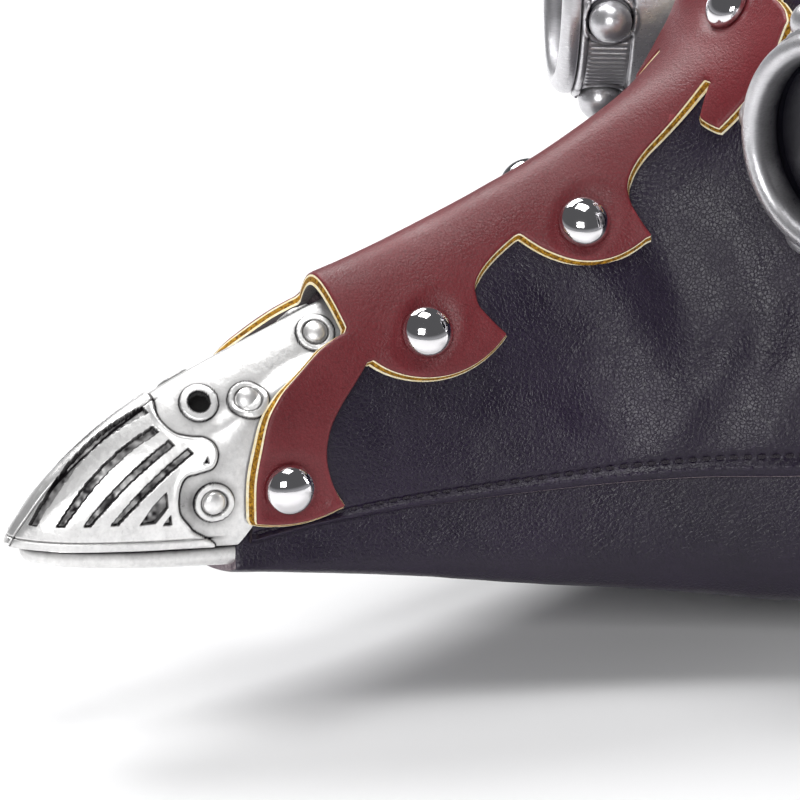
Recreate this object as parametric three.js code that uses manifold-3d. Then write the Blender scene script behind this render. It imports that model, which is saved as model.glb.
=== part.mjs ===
// Plague doctor mask: leather beak and face shell, red ridge strap with scalloped wings, cast metal
// beak tip, screw-ring goggles, face pads and head harness. Millimetres. The origin is the point midway
// between the wearer's eyes; the beak points along -Y, +X is the wearer's left and +Z is up.
import * as THREE from "three";
import Module from "manifold-3d";

const wasm = await Module();
wasm.setup();

// ---------------------------------------------------------------- driving dimensions
const LEATHER = 1.8; // thickness of the dark side panels
const UNDER_LEATHER = 1.4; // thickness of the panel under the beak
const STRAP = 2.0; // thickness of the red strap and of the harness straps
const GAP = 0.3; // space between pieces that touch
const FACE_END = 7; // station of the edge that lies round the face

const GOGGLE = { x: 45.4, y: -19.8, z: 0.4, outTurn: 22, upTilt: 2.5 }; // centre on the shell, degrees
const DRUM_R = 21.8; // outside radius of a goggle drum
const DRUM_BORE = 16.5;
const SPIGOT_R = 18.6; // the part of the drum that passes through the leather
const DRUM_DEPTH = 18.2;
const BEZEL_R = 21.2;
const BEZEL_DEPTH = 3.5;
const LENS_R = 16.9;
const STUD_R = 4; // ball-headed studs round each drum
const STUDS = 6;
const SEAT_FLAT = 24.5; // the shell is flat this far round a goggle
const SEAT_BLEND = 33;

const RIVET_R = 4.4;
const RIVET_HEIGHT = 3.0;
const TIP_RIVET_R = 2.1;
const TIP_WALL = 1.4;
const RELIEF = 0.8; // height of the raised grille plate on the tip

const BAND_WIDTH = 20; // harness straps
const HEAD_R = 82; // radius of the harness round the back of the head
const HEAD_Y = 112; // centre of that curve
const BAND_Z = 24;

// ---------------------------------------------------------------- colours
const BLACK_LEATHER = [0x2a1e30, 0.5, 0.0];
const RED_LEATHER = [0x7d3640, 0.5, 0.0];
const PEWTER = [0xc9c7c4, 0.35, 0.9];
const CHROME = [0xe6e6ea, 0.08, 1.0];
const GLASS = [0x0c0c12, 0.08, 0.0];
const GASKET = [0x141414, 0.8, 0.0];
const FOAM = [0x1c1b1f, 0.95, 0.0];

// Half sections of the shell, front to back. Each runs from the ridge or forehead line, over the
// shoulder, the middle of the side, the seam and the lower edge, to the keel line.
const SHELL_STATIONS = [
  [
    [0, -121, -31.2], [9.6, -122, -40], [12.6, -136, -52.5],
    [14.2, -140.5, -70.5], [14.6, -141.5, -77], [0, -142.5, -80.4],
  ],
  [
    [0, -104, -27.2], [10.2, -105, -36], [15.4, -108, -51],
    [18, -112, -66.8], [19.2, -112, -80.8], [0, -113, -85],
  ],
  [[0, -76, -17.6], [12, -76, -28], [20.2, -77, -46], [26.5, -79, -64], [28.4, -81, -84.6], [0, -82, -90]],
  [[0, -55, -8], [13.5, -53, -18.5], [25, -52, -38], [34.5, -57, -62.3], [36.5, -55, -88], [0, -56, -94]],
  [[0, -40, 0.8], [17, -38.5, -6.5], [34, -30, -30], [43, -38, -61.8], [44.5, -36, -90.3], [0, -36, -98]],
  [[0, -28, 12], [25, -28, 6], [47, -21, -30], [53, -20, -61], [52, -16, -89.5], [0, -22, -101.5]],
  [[0, -18, 35], [42, -14, 30], [71, -1, -14], [66, 8, -58], [58, 6, -86], [0, -14, -104]],
  [[0, -8, 58], [52, 8, 50], [79, 52, 6], [74, 46, -48], [56, 20, -82], [0, -12, -104]],
].map((station) => station.map((p) => new THREE.Vector3(...p)));

// Half sections of the metal tip, back to front: crest, shoulder, cheek, parting line.
const TIP_STATIONS = [
  [[0, -111, -32], [6.6, -112.5, -38.2], [10.2, -126, -52.5], [10.6, -131, -62]],
  [[0, -121, -35.3], [7, -122, -41.5], [11.2, -134.5, -54], [12.6, -138.8, -71.8]],
  [[0, -141, -42.4], [7.2, -141, -48], [11.6, -143, -58], [12.8, -144, -71.4]],
  [[0, -155, -48.9], [6, -155, -53.5], [9.4, -155.5, -61], [10.6, -156, -70.6]],
  [[0, -167, -57.4], [4.2, -167, -60.6], [6.2, -167, -64.6], [7, -167.5, -69.9]],
  [[0, -173.5, -64.4], [2, -173.7, -66], [2.8, -173.8, -67.6], [3, -174, -69.5]],
  [[0, -176, -67.8], [0.5, -176.1, -68.3], [0.7, -176.2, -68.8], [0.7, -176.2, -69.2]],
].map((station) => station.map((p) => new THREE.Vector3(...p)));

// ---------------------------------------------------------------- curves and surfaces
function catmull(a, b, c, d, t) {
  const blend = (p, q, r, s) =>
    0.5 * (2 * q + (r - p) * t + (2 * p - 5 * q + 4 * r - s) * t * t + (3 * q - p - 3 * r + s) * t ** 3);
  return new THREE.Vector3(blend(a.x, b.x, c.x, d.x), blend(a.y, b.y, c.y, d.y), blend(a.z, b.z, c.z, d.z));
}

// A point on a smooth curve through a row of points, with optional neighbours past its two ends.
function alongRow(row, u, before, after) {
  const last = row.length - 1;
  const i = THREE.MathUtils.clamp(Math.floor(u), 0, last - 1);
  const first = before ?? row[0].clone().multiplyScalar(2).sub(row[1]);
  const end = after ?? row[last].clone().multiplyScalar(2).sub(row[last - 1]);
  return catmull(row[i - 1] ?? first, row[i], row[i + 1], row[i + 2] ?? end, u - i);
}

const mirrorX = (p) => new THREE.Vector3(-p.x, p.y, p.z);
const mirrored = (p, side) => (side < 0 ? mirrorX(p) : p);

// The half section at station u, as a row of control points.
const sectionRow = (stations, u) =>
  stations[0].map((_, j) => alongRow(stations.map((station) => station[j]), u));

function goggleAxis(side) {
  const out = THREE.MathUtils.degToRad(GOGGLE.outTurn);
  const up = THREE.MathUtils.degToRad(GOGGLE.upTilt);
  return new THREE.Vector3(side * Math.sin(out) * Math.cos(up), -Math.cos(out) * Math.cos(up), Math.sin(up));
}
const goggleCentre = (side) => new THREE.Vector3(side * GOGGLE.x, GOGGLE.y, GOGGLE.z);

// Flattens the shell round each goggle, so that the drum has a level seat.
function seated(p) {
  const side = p.x < 0 ? -1 : 1;
  const axis = goggleAxis(side);
  const from = p.clone().sub(goggleCentre(side));
  const off = from.dot(axis);
  const r = from.addScaledVector(axis, -off).length();
  const w = 1 - THREE.MathUtils.smoothstep(r, SEAT_FLAT, SEAT_BLEND);
  return p.clone().addScaledVector(axis, -w * off);
}

// A point on the shell's outer face, at station u and place v along the half section, where negative
// v is the wearer's right.
function shellFace(u, v) {
  const row = sectionRow(SHELL_STATIONS, u);
  const keel = row.length - 2;
  const p = seated(alongRow(row, Math.abs(v), mirrorX(row[1]), mirrorX(row[keel])));
  return v < 0 ? mirrorX(p) : p;
}

function tipFace(u, v) {
  const row = sectionRow(TIP_STATIONS, u);
  const p = alongRow(row, Math.abs(v), mirrorX(row[1]));
  return v < 0 ? mirrorX(p) : p;
}

const STEP = 0.02;
function normalOf(face, u, v) {
  const du = face(u + STEP, v).sub(face(u - STEP, v));
  const dv = face(u, v + STEP).sub(face(u, v - STEP));
  return dv.cross(du).normalize();
}
const tipNormal = (u, v) => normalOf(tipFace, u, v).negate();
const shellPoint = (u, v, h) => shellFace(u, v).addScaledVector(normalOf(shellFace, u, v), h);

// Pattern coordinates: s is the distance along the ridge from the first station and g the distance
// round the section from the ridge, both on the shell, as on a paper pattern laid on the leather.
const ROWS = 110;
const COLUMNS = 36;
const FIRST_U = -0.2;
const patternRows = Array.from({ length: ROWS + 1 }, (_, i) => {
  const u = FIRST_U + ((FACE_END - FIRST_U) * i) / ROWS;
  const girth = [0];
  let last = shellFace(u, 0);
  for (let j = 1; j <= COLUMNS; j++) {
    const next = shellFace(u, (3 * j) / COLUMNS);
    girth.push(girth[j - 1] + next.distanceTo(last));
    last = next;
  }
  return { u, girth, ridge: shellFace(u, 0) };
});
let travelled = -shellFace(FIRST_U, 0).distanceTo(shellFace(0, 0));
patternRows.forEach((row, i) => {
  if (i) travelled += row.ridge.distanceTo(patternRows[i - 1].ridge);
  row.s = travelled;
});

function girthToV(row, g) {
  let j = 1;
  while (j < COLUMNS && row.girth[j] < g) j++;
  const share = (g - row.girth[j - 1]) / (row.girth[j] - row.girth[j - 1]);
  return (3 * (j - 1 + share)) / COLUMNS;
}

function patternToUV(s, g) {
  let i = 1;
  while (i < ROWS && patternRows[i].s < s) i++;
  const low = patternRows[i - 1];
  const high = patternRows[i];
  const share = (s - low.s) / (high.s - low.s);
  const v = THREE.MathUtils.lerp(girthToV(low, Math.abs(g)), girthToV(high, Math.abs(g)), share);
  return [THREE.MathUtils.lerp(low.u, high.u, share), g < 0 ? -v : v];
}
const patternPoint = (s, g, h) => shellPoint(...patternToUV(s, g), h);
const patternNormal = (s, g) => normalOf(shellFace, ...patternToUV(s, g));

// ---------------------------------------------------------------- solids
// The points and triangles of a geometry, with shared corners joined and collapsed triangles left out.
const WELD = 1e4; // corners closer than 1 / WELD mm are one
function welded(geometry) {
  const seen = new Map();
  const points = [];
  const corner = pointsOf(geometry).map((p) => {
    const key = p.toArray().map((value) => Math.round(value * WELD)).join();
    if (!seen.has(key)) seen.set(key, points.push(p) - 1);
    return seen.get(key);
  });
  const order = geometry.index ? [...geometry.index.array] : [...corner.keys()];
  const index = [];
  for (let i = 0; i < order.length; i += 3) {
    const [p, q, r] = order.slice(i, i + 3).map((k) => corner[k]);
    if (p !== q && q !== r && r !== p) index.push(p, q, r);
  }
  return [points, index];
}

function toManifold(geometry) {
  const [points, index] = welded(geometry);
  const vertProperties = new Float32Array(points.flatMap((p) => p.toArray()));
  return new wasm.Manifold(new wasm.Mesh({ numProp: 3, vertProperties, triVerts: new Uint32Array(index) }));
}

function toGeometry(solid) {
  const mesh = solid.getMesh();
  const geometry = new THREE.BufferGeometry();
  geometry.setAttribute("position", new THREE.BufferAttribute(mesh.vertProperties, 3));
  geometry.setIndex(new THREE.BufferAttribute(mesh.triVerts, 1));
  geometry.computeVertexNormals();
  return geometry;
}

const cut = (geometry, tools) =>
  toGeometry(tools.reduce((solid, tool) => solid.subtract(toManifold(tool)), toManifold(geometry)));

function pointsOf(geometry) {
  const place = geometry.attributes.position;
  return Array.from({ length: place.count }, (_, i) => new THREE.Vector3().fromBufferAttribute(place, i));
}

// A closed body from a grid of rows, each row a ring of points round the body, capped at both ends.
function ringBody(rings) {
  const n = rings[0].length;
  const centre = (ring) => ring.reduce((sum, p) => sum.add(p), new THREE.Vector3()).divideScalar(n);
  const points = [...rings.flat(), centre(rings[0]), centre(rings.at(-1))];
  const index = [];
  for (let i = 0; i + 1 < rings.length; i++)
    for (let j = 0; j < n; j++) {
      const k = (j + 1) % n;
      index.push(i * n + j, i * n + k, (i + 1) * n + j);
      index.push(i * n + k, (i + 1) * n + k, (i + 1) * n + j);
    }
  const end = (rings.length - 1) * n;
  for (let j = 0; j < n; j++) {
    const k = (j + 1) % n;
    index.push(rings.length * n, k, j);
    index.push(rings.length * n + 1, end + j, end + k);
  }
  return facingOut(points, index);
}

// A geometry from points and triangles, turned so that its faces point out.
function facingOut(points, index) {
  let volume = 0;
  for (let i = 0; i < index.length; i += 3) {
    const [a, b, c] = [points[index[i]], points[index[i + 1]], points[index[i + 2]]];
    volume += a.dot(b.clone().cross(c));
  }
  if (volume < 0) index.reverse();
  const geometry = new THREE.BufferGeometry().setFromPoints(points);
  geometry.setIndex(index);
  geometry.computeVertexNormals();
  return geometry;
}

// A sheet of even thickness: a grid of u and v values, with a face at each of two heights.
function sheet(point, us, vs, top, bottom) {
  const rings = us.map((u) => [
    ...vs.map((v) => point(u, v, top)),
    ...vs.toReversed().map((v) => point(u, v, bottom)),
  ]);
  const n = rings[0].length;
  const m = vs.length;
  const points = rings.flat();
  const index = [];
  for (let i = 0; i + 1 < rings.length; i++)
    for (let j = 0; j < n; j++) {
      const k = (j + 1) % n;
      index.push(i * n + j, i * n + k, (i + 1) * n + j);
      index.push(i * n + k, (i + 1) * n + k, (i + 1) * n + j);
    }
  for (const [base, flip] of [[0, false], [(rings.length - 1) * n, true]])
    for (let j = 0; j + 1 < m; j++) {
      const [a, b, c, d] = [base + j, base + j + 1, base + n - 2 - j, base + n - 1 - j];
      index.push(...(flip ? [a, b, c, a, c, d] : [a, c, b, a, d, c]));
    }
  return facingOut(points, index);
}

const steps = (from, to, count) =>
  Array.from({ length: count + 1 }, (_, i) => from + ((to - from) * i) / count);

// Splits every edge longer than the grain at its middle, until none is left. The pattern may be
// twice as coarse along the ridge, which is nearly straight.
function refined([points, index], grain) {
  const middles = new Map();
  const middle = (a, b) => {
    const edge = points[a].clone().sub(points[b]);
    if (Math.hypot(edge.x / 2, edge.y) <= grain) return -1;
    const key = a < b ? `${a}_${b}` : `${b}_${a}`;
    if (!middles.has(key)) middles.set(key, points.push(points[a].clone().lerp(points[b], 0.5)) - 1);
    return middles.get(key);
  };
  const next = [];
  for (let i = 0; i < index.length; i += 3) {
    let [a, b, c] = index.slice(i, i + 3);
    let [p, q, r] = [middle(a, b), middle(b, c), middle(c, a)];
    const turn = () => ([a, b, c, p, q, r] = [b, c, a, q, r, p]);
    const splits = [p, q, r].filter((m) => m >= 0).length;
    if (splits === 1) while (p < 0) turn();
    if (splits === 2) while (r >= 0) turn();
    if (splits === 0) next.push(a, b, c);
    if (splits === 1) next.push(a, p, c, p, b, c);
    if (splits === 2) next.push(p, b, q, a, p, q, a, q, c);
    if (splits === 3) next.push(a, p, r, p, b, q, r, q, c, p, q, r);
  }
  return middles.size ? refined([points, next], grain) : [points, next];
}

// A flat outline of the pattern laid on the shell as a sheet of leather, its base at height h.
function patternSheet(shape, h, thickness, grain) {
  const flat = new THREE.ExtrudeGeometry(shape, { depth: 1, bevelEnabled: false });
  const [points, index] = refined(welded(flat), grain);
  return facingOut(points.map((p) => patternPoint(p.x, p.y, h + thickness * p.z)), index);
}

// Places a geometry so that its own +Z runs along an axis from a point.
function stand(geometry, at, axis, roll = 0) {
  const turn = new THREE.Quaternion().setFromUnitVectors(new THREE.Vector3(0, 0, 1), axis);
  geometry.rotateZ(roll);
  geometry.applyQuaternion(turn);
  return geometry.translate(at.x, at.y, at.z);
}

// A turned body round its own Z from [radius, height] pairs that run round the profile.
function turned(profile, segments) {
  const lathe = new THREE.LatheGeometry(profile.map(([r, z]) => new THREE.Vector2(r, z)), segments);
  return facingOut(...welded(lathe.rotateX(Math.PI / 2)));
}
const ring = (inner, outer, low, high) =>
  [[inner, low], [outer, low], [outer, high], [inner, high], [inner, low]];
const disc = (r, low, high) => [[0, low], [r, low], [r, high], [0, high]];

// ---------------------------------------------------------------- the group
const group = new THREE.Group();

function add(name, geometry, [color, roughness, metalness]) {
  const mesh = new THREE.Mesh(geometry, new THREE.MeshStandardMaterial({ color, roughness, metalness }));
  mesh.name = name;
  group.add(mesh);
  return mesh;
}
const SIDES = [["left", 1], ["right", -1]];

// Rivets of the red strap in pattern coordinates.
const STRAP_RIVETS = [["wing", 6.2, 40.2], ["front_scallop", 23.7, 17.8], ["rear_scallop", 56.4, 14.1]];
const BROW_RIVETS = [["brow_rivet", 101], ["crest_rivet", 122]];
const SHANK_R = 1.5;
const BORE_R = 1.9;


const bore = (at, axis) => stand(turned(disc(BORE_R, -7, 7), 8), at, axis);

// A dome-headed rivet with its shank through the sheets below it.
function rivetShape(r, height, shank, shankR) {
  const dome = steps(0, Math.PI / 2, 3).map((a) => [r * Math.cos(a), height * Math.sin(a)]);
  return turned([[0, -shank], [shankR, -shank], [shankR, 0], ...dome.slice(0, -1), [0, height]], 10);
}
const patternRivet = (s, g, h, shank) =>
  stand(rivetShape(RIVET_R, RIVET_HEIGHT, shank, SHANK_R), patternPoint(s, g, h), patternNormal(s, g));

const strapHoles = [];
for (const [, side] of SIDES)
  for (const [, s, g] of STRAP_RIVETS)
    strapHoles.push(bore(patternPoint(s, side * g, 0), patternNormal(s, side * g)));
for (const [, s] of BROW_RIVETS) strapHoles.push(bore(patternPoint(s, 0, 0), patternNormal(s, 0)));

// Harness rivets: two at each temple and two where the crown strap meets the forehead.
const TEMPLE_RIVETS = [[6.5, 1.45], [6.7, 1.53]];
const CROWN_RIVETS = [6.5, 6.86];
function templeHoles(side) {
  return TEMPLE_RIVETS.map(([u, v]) =>
    bore(mirrored(shellPoint(u, v, 0), side), mirrored(normalOf(shellFace, u, v), side)),
  );
}
const crownHoles = CROWN_RIVETS.map((u) => bore(shellPoint(u, 0, 0), normalOf(shellFace, u, 0)));
const shellHoles = [...strapHoles, ...templeHoles(1), ...templeHoles(-1), ...crownHoles];

// ---------------------------------------------------------------- leather shell
const PANEL_FRONT = 0.16; // station where the leather starts at its lower corner
const RIDGE_FRONT = 0.55; // and at the ridge, behind the arch of the red strap
const PANEL_SEAM = 3.09; // lower edge of a side panel, just below its stitches
const FLAP = 2.8; // the panel under the beak reaches up behind the side panels to here
const CENTRE_GAP = 0.3;

function panelPoint(u, v, h) {
  const front = THREE.MathUtils.lerp(RIDGE_FRONT, PANEL_FRONT, THREE.MathUtils.smoothstep(v, 0.6, 2));
  const share = (u - PANEL_FRONT) / (FACE_END - PANEL_FRONT);
  const p = shellPoint(THREE.MathUtils.lerp(front, FACE_END, share), v, h);
  p.x = Math.max(p.x, CENTRE_GAP);
  return p;
}

for (const [name, side] of SIDES) {
  const us = [...steps(PANEL_FRONT, 4, 10), ...steps(4, FACE_END, 9).slice(1)];
  const panel = sheet(panelPoint, us, steps(0, PANEL_SEAM, 10), 0, -LEATHER);
  const placed = side > 0 ? panel : facingOut(pointsOf(panel).map(mirrorX), [...panel.index.array]);
  const eyeHole = stand(turned(disc(SPIGOT_R + 0.5, -8, 8), 32), goggleCentre(side), goggleAxis(side));
  add(`side_panel_${name}`, cut(placed, [eyeHole, ...shellHoles]), BLACK_LEATHER);
}

const UNDER_FRONT = 0.22;
const underTop = -(LEATHER + 0.9);
const underVs = [...steps(FLAP, 5, 7), ...steps(-5, -FLAP, 7).slice(1)];
const underUs = steps(UNDER_FRONT, FACE_END, 15);
const underPanel = sheet(shellPoint, underUs, underVs, underTop, underTop - UNDER_LEATHER);
add("under_panel", underPanel, BLACK_LEATHER);

// ---------------------------------------------------------------- red ridge strap
// Half outline in pattern coordinates (distance along the ridge, distance round from it).
const STRAP_BASE = 0.8; // height of the strap's inner face over the leather
const STRAP_GRAIN = 6.5; // longest edge of its triangles

function strapShape() {
  const half = new THREE.Path();
  half.moveTo(5.6, 0);
  half.quadraticCurveTo(5.7, 6, 7.5, 11);
  half.splineThru([[1, 13.4], [-1.2, 18.9], [-0.3, 25], [1.4, 32], [1.8, 40], [2.4, 47.6]].map(vector2));
  half.quadraticCurveTo(8, 48.3, 13.5, 44.9);
  half.quadraticCurveTo(6, 31, 13, 18.9);
  half.bezierCurveTo(20, 26.5, 31, 31.5, 39.2, 25.5);
  half.lineTo(34.3, 18);
  half.quadraticCurveTo(32.5, 12.5, 44.2, 10.4);
  half.bezierCurveTo(49, 18, 57, 25.5, 67.3, 23.4);
  half.lineTo(65.6, 16.5);
  half.quadraticCurveTo(65.5, 11.5, 72.5, 10.2);
  half.lineTo(88.2, 9);
  half.lineTo(82.6, 12.1);
  half.lineTo(84.9, 17.4);
  half.lineTo(106.6, 19.7);
  half.lineTo(107.5, 12.7);
  half.quadraticCurveTo(111, 7, 120, 8);
  half.quadraticCurveTo(128, 8.5, 134, 0);
  const points = half.getPoints(3);
  const mirrored = points.slice(1, -1).reverse().map((p) => new THREE.Vector2(p.x, -p.y));
  return new THREE.Shape([...points, ...mirrored]);
}
function vector2([x, y]) {
  return new THREE.Vector2(x, y);
}
add("ridge_strap", cut(patternSheet(strapShape(), STRAP_BASE, STRAP, STRAP_GRAIN), strapHoles), RED_LEATHER);

// ---------------------------------------------------------------- rivets of the shell
const RIVET_SEAT = STRAP_BASE + STRAP + GAP;
const RIVET_SHANK = RIVET_SEAT + LEATHER + 0.4;
for (const [name, side] of SIDES)
  for (const [place, s, g] of STRAP_RIVETS)
    add(`${place}_rivet_${name}`, patternRivet(s, side * g, RIVET_SEAT, RIVET_SHANK), CHROME);
const BROW_LIFT = 0.8; // the strap is hollow along the ridge here, so a flat head stands higher
for (const [name, s] of BROW_RIVETS)
  add(name, patternRivet(s, 0, RIVET_SEAT + BROW_LIFT, RIVET_SHANK + BROW_LIFT), CHROME);

// ---------------------------------------------------------------- metal tip
// A closed body through the tip's sections, grown outwards by a height. Its flat underside lies at
// the parting line, or below it where the body is a tool for hollowing the tip.
function tipBody(us, grow, drop) {
  return ringBody(
    us.map((u) => {
      const arch = steps(-3, 3, 12).map((v) => tipFace(u, v).addScaledVector(tipNormal(u, v), grow));
      if (!drop) return arch;
      const foot = (p) => new THREE.Vector3(p.x, p.y, p.z - drop);
      return [foot(arch[0]), ...arch, foot(arch.at(-1))];
    }),
  );
}
const tipUs = [...steps(0, 2, 3), ...steps(2, 6, 8).slice(1)];
const tipSolid = toManifold(tipBody(tipUs, 0, 0));
const tipHollow = toManifold(tipBody(steps(-0.4, 5, 9), -TIP_WALL, 6));
const raised = toManifold(tipBody(tipUs, RELIEF, 0));
const slotFloor = toManifold(tipBody(tipUs, -0.3, 0));

// A prism right across the tip from an outline of [y, z] points.
function acrossTip(points) {
  const shape = new THREE.Shape(points.map(vector2));
  const prism = new THREE.ExtrudeGeometry(shape, { depth: 60, bevelEnabled: false });
  prism.applyMatrix4(new THREE.Matrix4().set(0, 0, 1, -30, 1, 0, 0, 0, 0, 1, 0, 0, 0, 0, 0, 1));
  return toManifold(facingOut(...welded(prism)));
}

// The grille plate seen from the side, [y, z].
const GRILLE_OUTLINE = [
  [-180, -70.5], [-172, -57], [-160, -47], [-147.9, -41.5], [-148.4, -47.2], [-146.3, -50.6],
  [-141.8, -51.5], [-140.1, -53.6], [-141.3, -56.4], [-146.3, -57.8], [-147.8, -60.6], [-147.8, -64.1],
  [-145.9, -67.2], [-144.5, -71.5],
];
// Centre lines of its slots, low end and high end, with the rise of each curve above its chord.
const GRILLE_SLOTS = [
  [[-172.4, -65.2], [-150.1, -47.2], 2.2],
  [[-168.4, -65.1], [-149.5, -49.9], 1.6],
  [[-164.1, -65.1], [-147.5, -52], 0.95],
  [[-159.4, -65.1], [-144.5, -53.4], 0.7],
  [[-154, -64.9], [-150, -60.8], 0.2],
];
const SLOT_WIDTH = 1.5;
const NOSTRIL = [-141, -46.1];
const NOSTRIL_R = 2.1;
const BOSS_R = 3.5;
const TIP_RIVETS = [["upper", -117.4, -37], ["middle", -132.7, -46.2], ["lower", -141.6, -62.7]];

function slotOutline([low, high, rise]) {
  const along = vector2(high).sub(vector2(low));
  const across = new THREE.Vector2(-along.y, along.x).normalize();
  const middle = (k) =>
    vector2(low).addScaledVector(along, k).addScaledVector(across, 4 * rise * k * (1 - k));
  const edge = (half) => steps(0, 1, 3).map((k) => middle(k).addScaledVector(across, half));
  return [...edge(-SLOT_WIDTH / 2), ...edge(SLOT_WIDTH / 2).reverse()].map((p) => [p.x, p.y]);
}

// The tip's (u, v) under a point seen from the side, found by walking down the slope of the distance.
function tipAt([y, z]) {
  let best = [0, 0];
  let least = Infinity;
  for (let u = 0; u <= 6; u += 0.05)
    for (let v = 0; v <= 3; v += 0.05) {
      const p = tipFace(u, v);
      const d = Math.hypot(p.y - y, p.z - z);
      if (d < least) [least, best] = [d, [u, v]];
    }
  return best;
}
function onTip(place, side, h) {
  const [u, v] = tipAt(place);
  const n = tipNormal(u, v);
  return { at: mirrored(tipFace(u, v).addScaledVector(n, h), side), axis: mirrored(n, side) };
}

let tipUpper = tipSolid.add(raised.intersect(acrossTip(GRILLE_OUTLINE)));
for (const slot of GRILLE_SLOTS) {
  const opening = acrossTip(slotOutline(slot)).subtract(slotFloor);
  tipUpper = tipUpper.subtract(opening);
}
for (const [, side] of SIDES)
  for (const centre of [NOSTRIL, ...TIP_RIVETS.map(([, y, z]) => [y, z])]) {
    const { at, axis } = onTip(centre, side, -0.6);
    tipUpper = tipUpper.add(toManifold(stand(turned(disc(BOSS_R, 0, 1.2), 12), at, axis)));
  }
tipUpper = tipUpper.subtract(tipHollow);
for (const [, side] of SIDES) {
  const nostril = onTip(NOSTRIL, side, -3);
  const bore = stand(turned(disc(NOSTRIL_R, 0, 6), 12), nostril.at, nostril.axis);
  tipUpper = tipUpper.subtract(toManifold(bore));
  for (const [, y, z] of TIP_RIVETS) {
    const { at, axis } = onTip([y, z], side, -3);
    tipUpper = tipUpper.subtract(toManifold(stand(turned(disc(1.3, 0, 6), 8), at, axis)));
  }
}
// The parting plane under it drops slowly towards the back.
const PARTING = { y: -176, z: -69.2, slope: -0.044 };
const keepOut = new THREE.BoxGeometry(60, 120, 40).translate(0, 0, -20);
keepOut.rotateX(Math.atan(PARTING.slope)).translate(0, PARTING.y, PARTING.z);
add("tip_upper", toGeometry(tipUpper.subtract(toManifold(keepOut))), PEWTER);

for (const [name, side] of SIDES)
  for (const [place, y, z] of TIP_RIVETS) {
    const { at, axis } = onTip([y, z], side, 0.9);
    add(`tip_${place}_rivet_${name}`, stand(rivetShape(TIP_RIVET_R, 1.5, 3, 1.0), at, axis), PEWTER);
  }

// The lower lip: a tray just under the parting plane, [y, half width, bottom].
const LIP_GAP = 0.3;
const LIP_ROWS = [
  [-137.6, 13.4, -77.2], [-144, 12.8, -76.4], [-152, 11.4, -75.7], [-160, 9.3, -74.9],
  [-167, 6.6, -74.1], [-171.5, 3.8, -73.2], [-173.6, 1.4, -72],
];
add(
  "tip_lower",
  ringBody(
    LIP_ROWS.map(([y, w, bottom]) => {
      const top = PARTING.z + PARTING.slope * (y - PARTING.y) - LIP_GAP;
      const shoulder = top - 0.6;
      const belly = steps(0, Math.PI, 8).map((a) => {
        const z = shoulder + (bottom - shoulder) * Math.sin(a) ** 0.5;
        return new THREE.Vector3(w * Math.cos(a), y, z);
      });
      return [new THREE.Vector3(-w, y, top), new THREE.Vector3(w, y, top), ...belly];
    }),
  ),
  PEWTER,
);

// ---------------------------------------------------------------- goggles
const LEDGE = 12; // height of the ledge inside the drum that carries the gasket
const COUNTERBORE = 18.9;
const drumProfile = [
  [DRUM_BORE, -4.8], [SPIGOT_R, -4.8], [SPIGOT_R, GAP], [DRUM_R - 0.4, GAP], [DRUM_R, 8.8],
  [DRUM_R - 0.7, 9], [DRUM_R - 0.7, 16.8], [DRUM_R, 17], [DRUM_R, DRUM_DEPTH - 0.5],
  [DRUM_R - 0.5, DRUM_DEPTH], [COUNTERBORE, DRUM_DEPTH], [COUNTERBORE, LEDGE], [DRUM_BORE, LEDGE],
  [DRUM_BORE, -4.8],
];
const BEZEL_BASE = DRUM_DEPTH + GAP;
const bezelProfile = [
  [16.8, 15.8], [18.5, 15.8], [18.5, BEZEL_BASE],
  [BEZEL_R, BEZEL_BASE], [BEZEL_R, BEZEL_BASE + 1.4], [BEZEL_R - 0.6, BEZEL_BASE + 2.6],
  [BEZEL_R - 1.8, BEZEL_BASE + BEZEL_DEPTH], [17.9, BEZEL_BASE + BEZEL_DEPTH - 0.2],
  [16.9, BEZEL_BASE + 2.2], [16.8, 15.8],
];
const STUD_Z = 13.2;
const STUD_FLOOR = 19.7; // radius of the floor of each stud's recess
const STUD_TOP = 26.5;

for (const [name, side] of SIDES) {
  const at = goggleCentre(side);
  const axis = goggleAxis(side);
  const onGoggle = (geometry) => stand(geometry, at, axis);
  const halfTurn = side > 0 ? Math.PI : 0;
  const studTurn = (k) => side * THREE.MathUtils.degToRad(23.5 + (360 / STUDS) * k) + halfTurn;
  const radial = (geometry, k) => {
    geometry.rotateY(Math.PI / 2);
    geometry.translate(0, 0, STUD_Z);
    return geometry.rotateZ(studTurn(k));
  };
  const recess = disc(STUD_R + 0.4, STUD_FLOOR, 30);
  const recesses = steps(0, STUDS - 1, STUDS - 1).map((k) => radial(turned(recess, 12), k));
  add(`goggle_drum_${name}`, onGoggle(cut(turned(drumProfile, 28), recesses)), PEWTER);
  add(`goggle_bezel_${name}`, onGoggle(turned(bezelProfile, 28)), PEWTER);
  add(`goggle_lens_${name}`, onGoggle(turned(disc(LENS_R + 1.5, 13.5, 15.5), 28)), GLASS);
  add(`goggle_gasket_${name}`, onGoggle(turned(ring(LENS_R, LENS_R + 1.6, 12.3, 13.2), 28)), GASKET);
  const clamp = ring(SPIGOT_R + 0.3, 20.4, -6, -LEATHER - 1.9);
  add(`goggle_clamp_ring_${name}`, onGoggle(turned(clamp, 28)), PEWTER);
  for (let k = 0; k < STUDS; k++) {
    const low = STUD_FLOOR + GAP;
    const equator = STUD_TOP - STUD_R;
    const dome = steps(0, Math.PI / 2, 3).map((a) => [STUD_R * Math.cos(a), equator + STUD_R * Math.sin(a)]);
    const stud = turned([[0, low], [STUD_R, low], ...dome.slice(0, -1), [0, STUD_TOP]], 10);
    add(`goggle_stud_${name}_${k + 1}`, onGoggle(radial(stud, k)), PEWTER);
  }
}

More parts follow.
